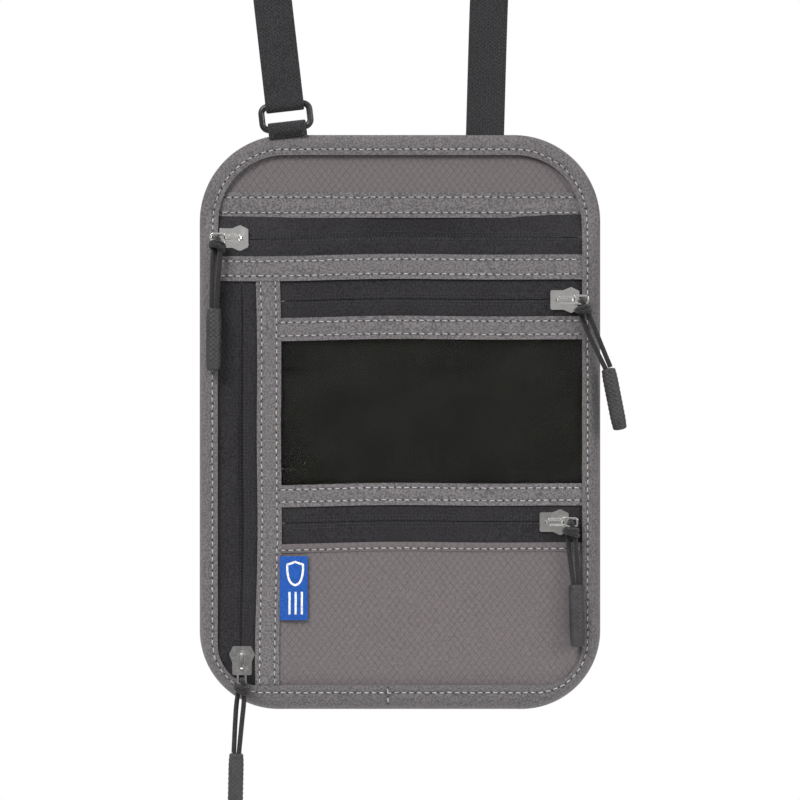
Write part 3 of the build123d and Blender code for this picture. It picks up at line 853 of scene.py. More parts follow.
@dataclass(frozen=True)
class Outline:
    """A rounded rectangle, wider corners at the top than at the bottom."""

    half_width: float
    top: float
    bottom: float
    top_radius: float
    bottom_radius: float

    def grown(self, amount: float) -> "Outline":
        """The same outline, larger all round."""
        return Outline(
            self.half_width + amount,
            self.top + amount,
            self.bottom - amount,
            self.top_radius + amount,
            self.bottom_radius + amount,
        )

    def reach(self, height: Array) -> Array:
        """Half the outline's width at each height.

        Args:
            height: Heights above the pouch's middle.

        Returns:
            Distances from the middle to the side.
        """
        above = np.clip(height - (self.top - self.top_radius), 0.0, self.top_radius)
        below = np.clip(self.bottom + self.bottom_radius - height, 0.0, self.bottom_radius)
        from_top = self.top_radius - np.sqrt(self.top_radius**2 - above**2)
        from_bottom = self.bottom_radius - np.sqrt(self.bottom_radius**2 - below**2)
        return self.half_width - np.maximum(from_top, from_bottom)

    def inside(self, x: Array, height: Array) -> Array:
        """Distance in from the outline, about, and negative outside it.

        Args:
            x: Places across the pouch.
            height: Heights above the pouch's middle.

        Returns:
            Distances to the nearest part of the outline.
        """
        radius = np.where(height > 0, self.top_radius, self.bottom_radius)
        middle = (self.top + self.bottom) / 2
        over = np.abs(x) - (self.half_width - radius)
        up = np.abs(height - middle) - ((self.top - self.bottom) / 2 - radius)
        corner = np.hypot(np.maximum(over, 0), np.maximum(up, 0)) + np.minimum(np.maximum(over, up), 0)
        return radius - corner

    def walk(self, spacing: float) -> Array:
        """Points round the outline, anticlockwise from the bottom's left end.

        Args:
            spacing: Distance between points on the straight runs.

        Returns:
            Rows of x and height, with as many points on each piece whatever the outline.
        """
        low_x, low_height = self.half_width - self.bottom_radius, self.bottom + self.bottom_radius
        high_x, high_height = self.half_width - self.top_radius, self.top - self.top_radius
        corners = (
            (low_x, low_height, self.bottom_radius, -90.0),
            (high_x, high_height, self.top_radius, 0.0),
            (-high_x, high_height, self.top_radius, 90.0),
            (-low_x, low_height, self.bottom_radius, 180.0),
        )
        straights, corner_points = (94, 160, 89, 160), 36
        points = []
        for number, (x, height, radius, start) in enumerate(corners):
            last_x, last_height, last_radius, last_start = corners[number - 1]
            left = math.radians(last_start + 90)
            enter_x = last_x + last_radius * math.cos(left)
            enter = np.array([enter_x, last_height + last_radius * math.sin(left)])
            turn = np.radians(start + np.linspace(0, 90, corner_points, endpoint=False))
            arc = np.stack([x + radius * np.cos(turn), height + radius * np.sin(turn)], axis=-1)
            steps = round(straights[number] / spacing)
            share = np.linspace(0, 1, steps, endpoint=False)[:, None]
            points += [enter * (1 - share) + arc[0] * share, arc]
        return np.concatenate(points)


EDGE = Outline(78.5, 112.5, -112.5, 34.0, 31.0)
OPENING = Outline(71.1, 104.5, -102.8, 26.0, 16.0)
TUCKED = 2.6
TAPE_FRONT = 7.6
TRIM_FRONT = 8.1
MAIN_CHAIN = 71.8
FRONT_CHAIN = 47.6
POCKET_CHAIN = -39.0
SIDE_CHAIN = -61.6
STRIP_RIGHT = -46.6


def folds(
    x: Array,
    height: Array,
    amount: float,
    seed: int,
    lengths: Sequence[float] = (61.0, 38.0, 23.0),
) -> Array:
    """Soft folds as a sum of sine waves that lean at random angles.

    Args:
        x: Places across the pouch.
        height: Heights above the pouch's middle.
        amount: About how deep the folds are.
        seed: Which folds.
        lengths: The waves' lengths.

    Returns:
        Depths to add.
    """
    draw = np.random.default_rng(seed)
    total = np.zeros(np.broadcast(x, height).shape)
    for length in lengths:
        lean, phase = draw.uniform(0, math.pi), draw.uniform(0, 2 * math.pi)
        wave = (x * math.cos(lean) + height * math.sin(lean)) * 2 * math.pi / length
        total = total + np.sin(wave + phase) * length / lengths[0]
    return amount * total / 1.6


def sway(place: Array) -> Array:
    """How far a sewn strip wanders from straight, as two slow sine waves along it."""
    return 0.4 * np.sin(place / 33.0 + 0.8) + 0.22 * np.sin(place / 13.0 + 2.1)


def settle(x: Array, height: Array, depth: Array) -> tuple[Array, Array, Array]:
    """Places on the pouch's front after its strips wander a little.

    Args:
        x: Places across the pouch.
        height: Heights above the pouch's middle.
        depth: Depths, which stay as they are.

    Returns:
        The three, as they lie.
    """
    return x + sway(height + 40.0), height + sway(x), depth


def lie(x: Array, height: Array) -> Array:
    """How far the front's layers stand from flat: soft folds, and a dip beside the binding."""
    near = OPENING.inside(x, height)
    return folds(x, height, 0.28, 4) - 0.45 * np.exp(-((near / 3.0) ** 2))


def rim(height: Array) -> Array:
    """Depth of the binding's front lip, which is lower beside the upper panel."""
    return 8.5 - 6.0 * smoothstep(height, 64.0, 84.0)


# ---- Stitches ------------------------------------------------------------------------------


@dataclass(frozen=True)
class Stitching:
    """Rows of stitches that lie along lines on a surface."""

    name: str
    length: float = 2.25
    pitch: float = 2.95
    radius: float = 0.24
    arch: float = 0.2
    # Size of the dark dots of painted shade at the needle holes.
    hole_shade: float = 0.42
    wander: float = 0.06

    def rows(self, lines: Sequence[Array], facing: Array) -> tuple[bpy.types.Object, bpy.types.Object]:
        """Makes the threads, and dark dots between them that paint the shade in the needle holes.

        A stitch is a tube whose middle arches up and whose ends dip into the cloth.

        Args:
            lines: The rows, each as points in metres.
            facing: The way that the cloth faces.

        Returns:
            The threads and the painted shade of the needle holes, as two objects.
        """
        middles, ways, gaps, gap_ways = [], [], [], []
        for line in lines:
            total = arc_lengths(line)[-1] / MM
            count = max(int(total / self.pitch), 1)
            places = (np.arange(count) + 0.5) * total / count * MM
            half = 0.3 * MM
            ahead, behind = resample(line, places + half), resample(line, places - half)
            middles.append((ahead + behind) / 2)
            ways.append(unit(ahead - behind))
            places = np.arange(count + 1) * total / count * MM
            gaps.append(resample(line, places))
            gap_ways.append(unit(resample(line, places + half) - resample(line, places - half)))
        middle, way = np.concatenate(middles), np.concatenate(ways)
        shift = np.random.default_rng(len(middle)).normal(0.0, self.wander, (2, len(middle), 1))
        across = np.cross(way, facing)
        middle = middle + across * shift[0] * MM
        way = unit(way + across * shift[1])
        gap, gap_way = np.concatenate(gaps), np.concatenate(gap_ways)
        along = np.array([-1.0, -0.8, -0.3, 0.3, 0.8, 1.0])
        size = np.array([0.0, 0.7, 1.0, 1.0, 0.7, 0.0])
        places, size = along * self.length / 2, size * self.radius
        threads = self.capsules(self.name, middle, way, facing, places, size, along)
        # Dark dots at the needle holes, lying on the cloth: painted shade.
        dips = np.array([-1.0, 0.0, 1.0])
        size = np.array([0.0, 1.0, 0.0]) * self.hole_shade * 0.8
        name, places, flat = f"{self.name}_holes", dips * self.hole_shade, dips * 0
        return threads, self.capsules(name, gap, gap_way, facing, places, size, flat)

    def capsules(
        self,
        name: str,
        middle: Array,
        way: Array,
        facing: Array,
        along: Array,
        size: Array,
        bend: Array,
        sides: int = 6,
    ) -> bpy.types.Object:
        """Many short closed tubes in one mesh.

        Args:
            name: The piece's name.
            middle: Each tube's middle.
            way: Each tube's direction.
            facing: Up from the cloth.
            along: Places along a tube.
            size: Radius at each of those places.
            bend: How far along the arch each place is, from -1 to 1.
            sides: Sides of a tube.

        Returns:
            The new object.
        """
        beside = unit(np.cross(way, facing))
        ring = circle(1.0, sides)
        lift = self.arch * (1 - 2.2 * bend**2)
        out = ring[None, :, 0] * size[:, None] * MM
        up = (ring[None, :, 1] * size[:, None] + lift[:, None]) * MM
        points = (
            middle[:, None, None]
            + way[:, None, None] * (along * MM)[None, :, None, None]
            + beside[:, None, None] * out[None, ..., None]
            + facing * up[None, ..., None]
        )
        rings = len(along)
        row, column = np.meshgrid(np.arange(rings - 1) * sides, np.arange(sides), indexing="ij")
        following = (column + 1) % sides
        corners = [row + column, row + following, row + sides + following, row + sides + column]
        quad = np.stack(corners, axis=-1).reshape(-1, 4)
        quads = (np.arange(len(middle)) * rings * sides)[:, None, None] + quad[None]
        return weld(mesh_object(name, points.reshape(-1, 3), quads.reshape(-1, 4)), 180)


# ---- Panels, trims and the binding ------------------------------------------------------------


@dataclass(frozen=True)
class Layer:
    """A layer of cloth or film across the pouch, as far as the binding."""

    name: str
    left: float
    right: float
    low: float
    high: float
    front: float
    thickness: float
    step: float = 1.2
    crown: float = 0.0
    settle: bool = True
    rows: tuple[float, ...] = ()
    columns: tuple[float, ...] = ()

    def depth(self, x: Array, height: Array) -> Array:
        """Depth of the layer's face.

        Args:
            x: Places across the pouch.
            height: Heights above the pouch's middle.

        Returns:
            The face's depths, with a groove under each seam.
        """
        face = self.front + (lie(x, height) if self.settle else 0.0)
        share = (height - self.low) / (self.high - self.low) * 2 - 1
        across = (x - self.left) / (self.right - self.left) * 2 - 1
        face = face + self.crown * (1 - share**2) * (1 - across**4)
        away = [height - row for row in self.rows] + [x - column for column in self.columns]
        for distance in away:
            face = face - 0.16 * np.exp(-((distance / 0.7) ** 2))
        return face

    def build(self) -> bpy.types.Object:
        """Makes the layer, its sides cut to the outline under the binding."""
        cut = OPENING.grown(TUCKED)
        low, high = max(self.low, cut.bottom), min(self.high, cut.top)
        rows = max(int((high - low) / min(self.step, (high - low) / 10)), 10) + 1
        turn = np.linspace(-math.pi / 2, math.pi / 2, rows)
        even = np.linspace(-1, 1, rows)
        rounded = low == cut.bottom or high == cut.top
        share = (np.sin(turn) * 0.35 + even * 0.65 if rounded else even) / 2 + 0.5
        height = (low + (high - low) * share)[:, None]
        reach = cut.reach(height)
        left, right = np.maximum(self.left, -reach), np.minimum(self.right, reach)
        columns = max(int((self.right - self.left) / self.step), 8) + 1
        x = left + (right - left) * np.linspace(0, 1, columns)[None, :]
        height = np.broadcast_to(height, x.shape)
        depth = self.depth(x, height)
        if self.settle:
            x, height, depth = settle(x, height, depth)
        return slab(self.name, x, height, depth, self.thickness)

    def seam_line(self, x: Array, height: Array) -> Array:
        """Line over the layer's face, in metres."""
        place = (x, height, self.depth(x, height))
        return at(*(settle(*place) if self.settle else place))

    def row_line(self, row: float) -> Array:
        """Line along a level seam, in metres."""
        reach = float(OPENING.reach(np.array(row))) - 0.5
        x = np.arange(max(self.left, -reach) + 0.3, min(self.right, reach) - 0.3, 0.8)
        return self.seam_line(x, np.full_like(x, row))

    def column_line(self, column: float) -> Array:
        """Line along an upright seam, in metres."""
        height = np.arange(max(self.low, OPENING.bottom) + 0.8, self.high - 0.5, 0.8)
        return self.seam_line(np.full_like(height, column), height)


class Binding:
    """The folded tape round the pouch's edge."""

    steps: int = 26
    seam_place: float = 0.72
    lap_left: float = -17.0
    lap_right: float = -3.3

    def __init__(self) -> None:
        """Works out the tape's inner and outer lines."""
        self.outer = EDGE.walk(1.0)
        self.inner = OPENING.walk(1.0)

    def face(self, share: Array, lip: Array) -> Array:
        """Rise of the tape's face to its lip: a rounded shoulder, then almost flat.

        Args:
            share: How far in from the fold, from 0 to 1.
            lip: Depth at the lip.

        Returns:
            The face's depths.
        """
        power = 2.3
        return lip * (1 - (1 - share) ** power) ** (1 / power)

    def spot(self, share: Array, lip: Array) -> Array:
        """Places on the tape, in metres.

        Args:
            share: How far in from the fold, from 0 to 1, for each column.
            lip: Depth at the lip for each row.

        Returns:
            A grid of points, with a groove under the seam.
        """
        plan = self.outer[:, None] + (self.inner - self.outer)[:, None] * share[None, :, None]
        depth = self.face(share[None], lip[:, None])
        groove = 0.2 * np.exp(-(((share[None] - self.seam_place) / 0.08) ** 2))
        return at(plan[..., 0], plan[..., 1], depth - np.sign(lip[:, None]) * groove)

    def lips(self) -> tuple[Array, Array]:
        """Depths of the front and back lips all the way round, with the lap at the bottom."""
        x, height = self.outer[:, 0], self.outer[:, 1]
        lap = (height < -100) & (x > self.lap_left) & (x < self.lap_right)
        wave = folds(x, height, 0.1, 9, (17.0, 9.0, 5.3))
        return rim(height) + wave + 0.45 * lap, -3.6 - 0.1 * lap + wave * 0.3

    def build(self) -> bpy.types.Object:
        """Makes the tape, closed from the front lip round the fold to the back lip."""
        front, back = self.lips()
        share = np.linspace(1, 0, self.steps) ** 1.35
        faces = [self.spot(share, front), self.spot(share[::-1][1:], back)]
        front_under = at(*self.inner.T, front - 1.1)[:, None]
        back_under = at(*self.inner.T, back + 0.9)[:, None]
        points = np.concatenate([front_under, *faces, back_under], axis=1)
        return grid("binding", points, wrap_u=True, wrap_v=True)

    def seam(self, behind: bool = False) -> Array:
        """Line of the seam, in metres, on the front or the back."""
        front, back = self.lips()
        line = self.spot(np.array([self.seam_place]), back if behind else front)[:, 0]
        return np.concatenate([line, line[:1]])


class Pouch:
    """The sewn body of the pouch: its panels, trims, window, label and binding."""

    label_left: float = -46.9
    label_low: float = -77.2
    label_width: float = 10.9
    label_height: float = 24.9

    def __init__(self, finishes: Finishes) -> None:
        """Lists the layers.

        Args:
            finishes: The materials.
        """
        self.finishes = finishes
        side, left = OPENING.half_width + TUCKED, -OPENING.half_width - TUCKED
        low, high = OPENING.bottom - TUCKED, OPENING.top + TUCKED
        strip = STRIP_RIGHT
        self.upper_trim = Layer(
            "main_zip_upper_trim", left, side, 80.0, 90.0, 1.15, 0.5, settle=False, rows=(82.0, 88.0)
        )
        self.lower_trim = Layer(
            "main_zip_lower_trim", left, side, 55.4, 65.1, 8.45, 0.5, rows=(57.4, 63.1)
        )
        self.side_trim = Layer(
            "side_trim", -56.0, strip, low, 57.0, 8.2, 0.5, columns=(-54.2, -48.4)
        )
        tucked = strip - 1.2
        self.window_top = Layer(
            "window_top_trim", tucked, side, 32.0, 41.0, TRIM_FRONT, 0.5, rows=(34.0, 39.2)
        )
        self.window_bottom = Layer(
            "window_bottom_trim", tucked, side, -32.8, -24.2, TRIM_FRONT, 0.5, rows=(-30.8, -26.0)
        )
        self.hem = Layer(
            "pocket_hem", tucked, side, -50.6, -47.2, 8.0, 0.9, step=0.8, rows=(-49.6,)
        )
        self.pocket = Layer("ripstop_pocket", tucked, side, low, -48.2, 7.55, 0.5, crown=0.5)
        self.upper = Layer("upper_panel", left, side, 80.2, high, 0.65, 0.5, settle=False)
        self.wall = Layer(
            "main_front_wall", left, side, low, 60.2, 3.7, 0.4, step=2.5, settle=False
        )
        self.backing = Layer(
            "organiser_backing", -56.0, side, low, 60.2, 4.4, 0.3, step=2.5, settle=False
        )
        under_strip = strip - 2
        self.window_lining = Layer(
            "window_backing", under_strip, side, -32.0, 40.5, 6.35, 0.3, step=2.0
        )
        self.film = Layer("clear_window", under_strip, side, -26.2, 34.0, 7.45, 0.3, crown=0.35)

    def back_depth(self, x: Array, height: Array) -> Array:
        """Depth of the back panel's outer face: soft folds behind, flat beside the binding."""
        near = np.clip(OPENING.inside(x, height), 0, None)
        return -3.45 - folds(x, height, 0.16, 12) * smoothstep(near, 0.0, 14.0)

    def back_piece(self) -> bpy.types.Object:
        """Makes the back panel, with soft folds on both faces."""
        cut = OPENING.grown(TUCKED)
        height = np.linspace(cut.bottom, cut.top, 150)[:, None]
        x = cut.reach(height) * np.linspace(-1, 1, 100)[None]
        height = np.broadcast_to(height, x.shape)
        return slab("back_panel_cloth", x, height, self.back_depth(x, height) + 0.6, 0.6)

    def build(self) -> None:
        """Makes and dresses every sewn piece."""
        f = self.finishes
        for layer, finish, slot in (
            (self.upper_trim, f.trim, "binding_tape"),
            (self.lower_trim, f.trim, "binding_tape"),
            (self.side_trim, f.trim, "binding_tape"),
            (self.window_top, f.trim, "binding_tape"),
            (self.window_bottom, f.trim, "binding_tape"),
            (self.hem, f.ripstop, "binding_tape"),
            (self.pocket, f.ripstop, "ripstop"),
            (self.upper, f.ripstop, "ripstop"),
            (self.wall, f.lining, "lining"),
            (self.backing, f.lining, "lining"),
            (self.window_lining, f.lining, "lining"),
            (self.film, f.film, "clear_film"),
        ):
            piece = layer.build()
            node = layer.name
            piece.name = f"{node}_cloth"
            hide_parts(node)
            dress(piece, finish, "pouch")
        back = self.back_piece()
        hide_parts("back_panel")
        dress(back, f.ripstop, "pouch")
        binding = Binding()
        tape = binding.build()
        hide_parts("edge_binding")
        dress(tape, f.binding, "pouch")
        shield = frame["nodes"]["shield_sheet"]
        shield.data.materials.clear()
        shield.data.materials.append(f.shield)
        self.sew(binding)
        self.label()

    def sew(self, binding: Binding) -> None:
        """Makes every seam's stitches.

        Args:
            binding: The folded tape, for its seam.
        """
        trims = (self.upper_trim, self.lower_trim, self.window_top, self.window_bottom, self.hem)
        rows = [layer.row_line(row) for layer in trims for row in layer.rows]
        rows += [self.side_trim.column_line(column) for column in self.side_trim.columns]
        for name, lines, facing in (
            ("trim_seams", rows, FORWARD),
            ("binding_seam", [binding.seam()], FORWARD),
            ("binding_back_seam", [binding.seam(behind=True)], BACKWARD),
            ("lap_seam", [self.lap_line(binding)], FORWARD),
        ):
            threads, hole_shades = Stitching(name).rows(lines, facing)
            dress(threads, self.finishes.thread, "pouch")
            dress(hole_shades, self.finishes.hole_shade, "pouch")

    @staticmethod
    def lap_line(binding: Binding) -> Array:
        """Short seam across the binding beside its lap, in metres."""
        share = np.linspace(0.25, 0.95, 12)
        x = binding.lap_right - 1.4
        height = EDGE.bottom + (OPENING.bottom - EDGE.bottom) * share
        return at(np.full(12, x), height, binding.face(share, np.array(rim(-100.0) + 0.55)))

    def label_face(self, x: Array, height: Array) -> Array:
        """Depth of the label, which is sewn at its left end and bulges forward."""
        over = (x - self.label_left) / self.label_width
        return 8.15 + lie(x, height) + 0.9 * np.sin(over * math.pi * 0.9) * 0.7 + 0.25 * over

    def label(self) -> None:
        """Makes the folded woven label, with a shield and three stripes in its weave."""
        left, width, low, tall = self.label_left, self.label_width, self.label_low, self.label_height
        x = np.linspace(left, left + width, 24)[None]
        height = np.linspace(low, low + tall, 40)[:, None]
        x, height = np.broadcast_arrays(x, height)
        body = slab("woven_label_loop", x, height, self.label_face(x, height) + 0.45, 0.75)
        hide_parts("woven_label")
        dress(body, self.finishes.label, "pouch")
        lines = self.label_marks(left + width / 2 + 0.6, low + tall / 2)
        for number, (x, height) in enumerate(line.T for line in lines):
            place = at(x, height, self.label_face(x, height) + 0.5)
            mark = laid(f"label_mark_{number + 1}", place, flat_bar(0.85, 0.16, 4))
            dress(mark, self.finishes.label_mark, "pouch")

    @staticmethod
    def label_marks(x: float, height: float) -> list[Array]:
        """Lines of the label's mark: a shield above three upright stripes.

        Args:
            x: The mark's middle across the pouch.
            height: The mark's middle height.

        Returns:
            Lines of x and height, in millimetres.
        """
        fall = np.linspace(0, 1, 24)
        half = 3.1 * np.sqrt(1 - fall**2.6)
        right = np.stack([x + half, height + 9.2 - 8.0 * fall], axis=-1)
        left = np.stack([x - half, height + 9.2 - 8.0 * fall], axis=-1)
        crest = np.array([[x - 1.5, height + 9.7], [x, height + 10.3], [x + 1.5, height + 9.7]])
        shield = np.concatenate([crest, right, left[::-1], crest[:1]])
        stripes = []
        for across in (-2.2, 0.2, 2.6):
            tall = np.linspace(height - 10.2, height - 1.4, 16)
            stripes.append(np.stack([np.full(16, x + across), tall], axis=-1))
        return [shield, *stripes]


# ---- Zips -------------------------------------------------------------------------------------


@dataclass(frozen=True)
class ZipHalf:
    """One tape of a coil zip, with half of the coil along its free edge.

    A line is rows of x, height and depth in millimetres.
    """

    name: str
    nodes: tuple[str, str]
    chain: Array
    fixed: Array
    joint: str = ""
    coil_start: int = 0
    coil_stop: int = -1
    pitch: float = 1.28
    coil_radius: float = 0.3
    phase: float = 0.0

    def tape(self) -> bpy.types.Object:
        """Makes the tape as straight threads from its fixed edge to its free edge."""
        share = np.concatenate([np.linspace(0, 0.86, 8), [0.92, 0.96, 1.0]])[None, :, None]
        points = self.fixed[:, None] * (1 - share) + self.chain[:, None] * share
        wide = np.linalg.norm(self.chain - self.fixed, axis=1)[:, None]
        inward = (1 - share[..., 0]) * wide
        bead = 0.06 * np.exp(-(((inward - 1.4) / 0.8) ** 2))
        x, height, depth = settle(points[..., 0], points[..., 1], points[..., 2] + bead)
        return slab(f"{self.name}_tape_cloth", x, height, depth, 0.5)

    def seams(self) -> list[Array]:
        """Lines of the two rows that sew the coil to the tape, in metres."""
        lines = []
        inward = unit((self.chain - self.fixed)[self.coil_start : self.coil_stop])
        for back in (0.75, 2.0):
            row = self.chain[self.coil_start : self.coil_stop] - inward * back
            lines.append(at(*settle(*(row - (0.0, 0.0, 0.04)).T)))
        return lines

    def coil(self) -> bpy.types.Object:
        """Makes the coil: an oval helix behind the tape, along its free edge."""
        line = self.chain[self.coil_start : self.coil_stop]
        inward = unit((self.chain - self.fixed)[self.coil_start : self.coil_stop])
        inward[:, 2] *= 0.15
        lengths = arc_lengths(line)
        turns = int(lengths[-1] / self.pitch)
        steps = 10
        place = np.linspace(0, turns * self.pitch, turns * steps + 1)
        angle = (np.arange(turns * steps + 1) / steps + self.phase) * 2 * math.pi
        centre = resample(line, place)
        reach = np.stack([np.interp(place, lengths, column) for column in inward.T], axis=-1)
        centre = centre - reach * 0.6
        centre[:, 2] -= 1.2
        path = centre + reach * (0.85 * np.cos(angle))[:, None]
        path[:, 2] += 0.5 * np.sin(angle)
        path = at(*settle(*path.T))
        side = unit(np.cross(tangents(path), tangents(at(*centre.T))))
        return sweep(f"{self.name}_coil_loops", path, side, circle(self.coil_radius, 5))

    def build(self, finishes: Finishes) -> None:
        """Makes and dresses the tape, the coil and its seams; an open zip's pieces get meshes of their
        own.

        Args:
            finishes: The materials.
        """
        tape, coil = self.tape(), self.coil()
        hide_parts(self.nodes[0])
        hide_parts(self.nodes[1])
        sewing = Stitching(
            f"{self.name}_seams",
            length=0.85,
            pitch=1.28,
            radius=0.17,
            arch=0.1,
            hole_shade=0.2,
            wander=0.03,
        )
        threads, hole_shades = sewing.rows(self.seams(), FORWARD)
        dress(tape, finishes.zip_tape, "pouch")
        dress(coil, finishes.coil, "pouch")
        dress(threads, finishes.dark_thread, "pouch")
        dress(hole_shades, finishes.hole_shade, "pouch")
        if self.joint:
            first = at(*self.fixed[0])
            along = at(*self.fixed[-1]) - first
            across = at(*self.chain[0]) - first
            for piece in (tape, coil, threads, hole_shades):
                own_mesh(piece)


class Zips:
    """The four coil zips with their stops."""

    edge: float = 0.12
    flat_reach: float = 73.0

    def __init__(self, finishes: Finishes) -> None:
        """Keeps the materials."""
        self.finishes = finishes

    @staticmethod
    def bow(place: Array, span: tuple[float, float], ends: float, middle: float) -> Array:
        """Depth along an open edge that bows from its ends to its middle, near a half sine."""
        share = np.clip((place - span[0]) / (span[1] - span[0]), 0, 1)
        return ends + (middle - ends) * np.sin(share * math.pi) ** 1.2

    @staticmethod
    def rows(x: Array, height: Array, depth: Array) -> Array:
        """Rows of x, height and depth, from arrays or single values."""
        return np.stack(np.broadcast_arrays(x, height, depth), axis=-1)

    def level(self, name: str, chain: float, low: float, high: float) -> list[ZipHalf]:
        """Halves of a closed level zip.

        Args:
            name: The zip's name.
            chain: Height of its chain.
            low: Height of the lower tape's fixed edge.
            high: Height of the upper tape's fixed edge.

        Returns:
            The upper and the lower half.
        """
        x = np.arange(-48.0, self.flat_reach, 1.0)
        made = []
        for half, fixed, way, phase in (("upper", high, 1, 0.0), ("lower", low, -1, 0.5)):
            free = chain + way * self.edge
            edge = self.rows(x, free, TAPE_FRONT + lie(x, free))
            root = self.rows(x, fixed, 7.55 + lie(x, fixed))
            label = f"{name}_{half}"
            nodes = (f"{label}_tape", f"{label}_coil")
            made.append(ZipHalf(label, nodes, edge, root, coil_start=3, coil_stop=-4, phase=phase))
        return made

    def main_halves(self) -> list[ZipHalf]:
        """Halves of the main zip, which is open: one edge bows forward and one bows back."""
        x = np.arange(-73.0, 73.5, 1.0)
        span = (-58.6, 69.3)
        made = []
        for half, fixed, root_depth, middle, way, phase in (
            ("upper", 82.0, 0.6, 0.7, 1, 0.0),
            ("lower", 63.5, 7.7, 7.5, -1, 0.5),
        ):
            edge = self.rows(x, MAIN_CHAIN + way * self.edge, self.bow(x, span, 5.9, middle))
            reach = OPENING.grown(TUCKED).reach(np.array(fixed))
            root = self.rows(np.clip(x, -reach, reach), fixed, root_depth)
            label, slide = f"main_zip_{half}", "main_zip_slide"
            nodes = (f"{label}_tape", f"{label}_coil")
            made.append(
                ZipHalf(label, nodes, edge, root, slide, coil_start=3, coil_stop=-5, phase=phase)
            )
        return made

    def side_halves(self) -> list[ZipHalf]:
        """Halves of the side zip, whose left edge bows back."""
        height = np.arange(-103.5, 57.0, 1.0)
        span = (-86.7, 53.6)
        right_edge, left_edge = SIDE_CHAIN + self.edge, SIDE_CHAIN - self.edge
        right = self.rows(right_edge, height, TAPE_FRONT + lie(right_edge, height))
        right_fixed = -54.6
        right_root = self.rows(right_fixed, height, TAPE_FRONT + lie(right_fixed, height))
        left = self.rows(left_edge, height, self.bow(height, span, 7.5, 5.8) - 0.25)
        reach = -OPENING.grown(TUCKED).reach(height)
        left_root = self.rows(np.minimum(reach, left_edge - 0.6), height, 7.3)
        made = []
        for half, edge, root, slide, phase in (
            ("right", right, right_root, "", 0.0),
            ("left", left, left_root, "side_zip_slide", 0.5),
        ):
            label = f"side_zip_{half}"
            nodes = (f"{label}_tape", f"{label}_coil")
            made.append(ZipHalf(label, nodes, edge, root, slide, coil_start=3, phase=phase))
        return made

    def build(self) -> None:
        """Makes every zip's halves and its stops."""
        halves = self.level("front_zip", FRONT_CHAIN, 39.6, 57.2)
        halves += self.level("pocket_zip", POCKET_CHAIN, -48.6, -31.0)
        for half in halves + self.main_halves() + self.side_halves():
            half.build(self.finishes)
        for node in ("main_zip_stops", "side_zip_stops", "front_zip_stop", "pocket_zip_stop"):
            stop = softened(node, f"{node}_crimped", 0.3)
            dress(stop, self.finishes.metal, "pouch")


# ---- Sliders and what hangs from them ------------------------------------------------------------


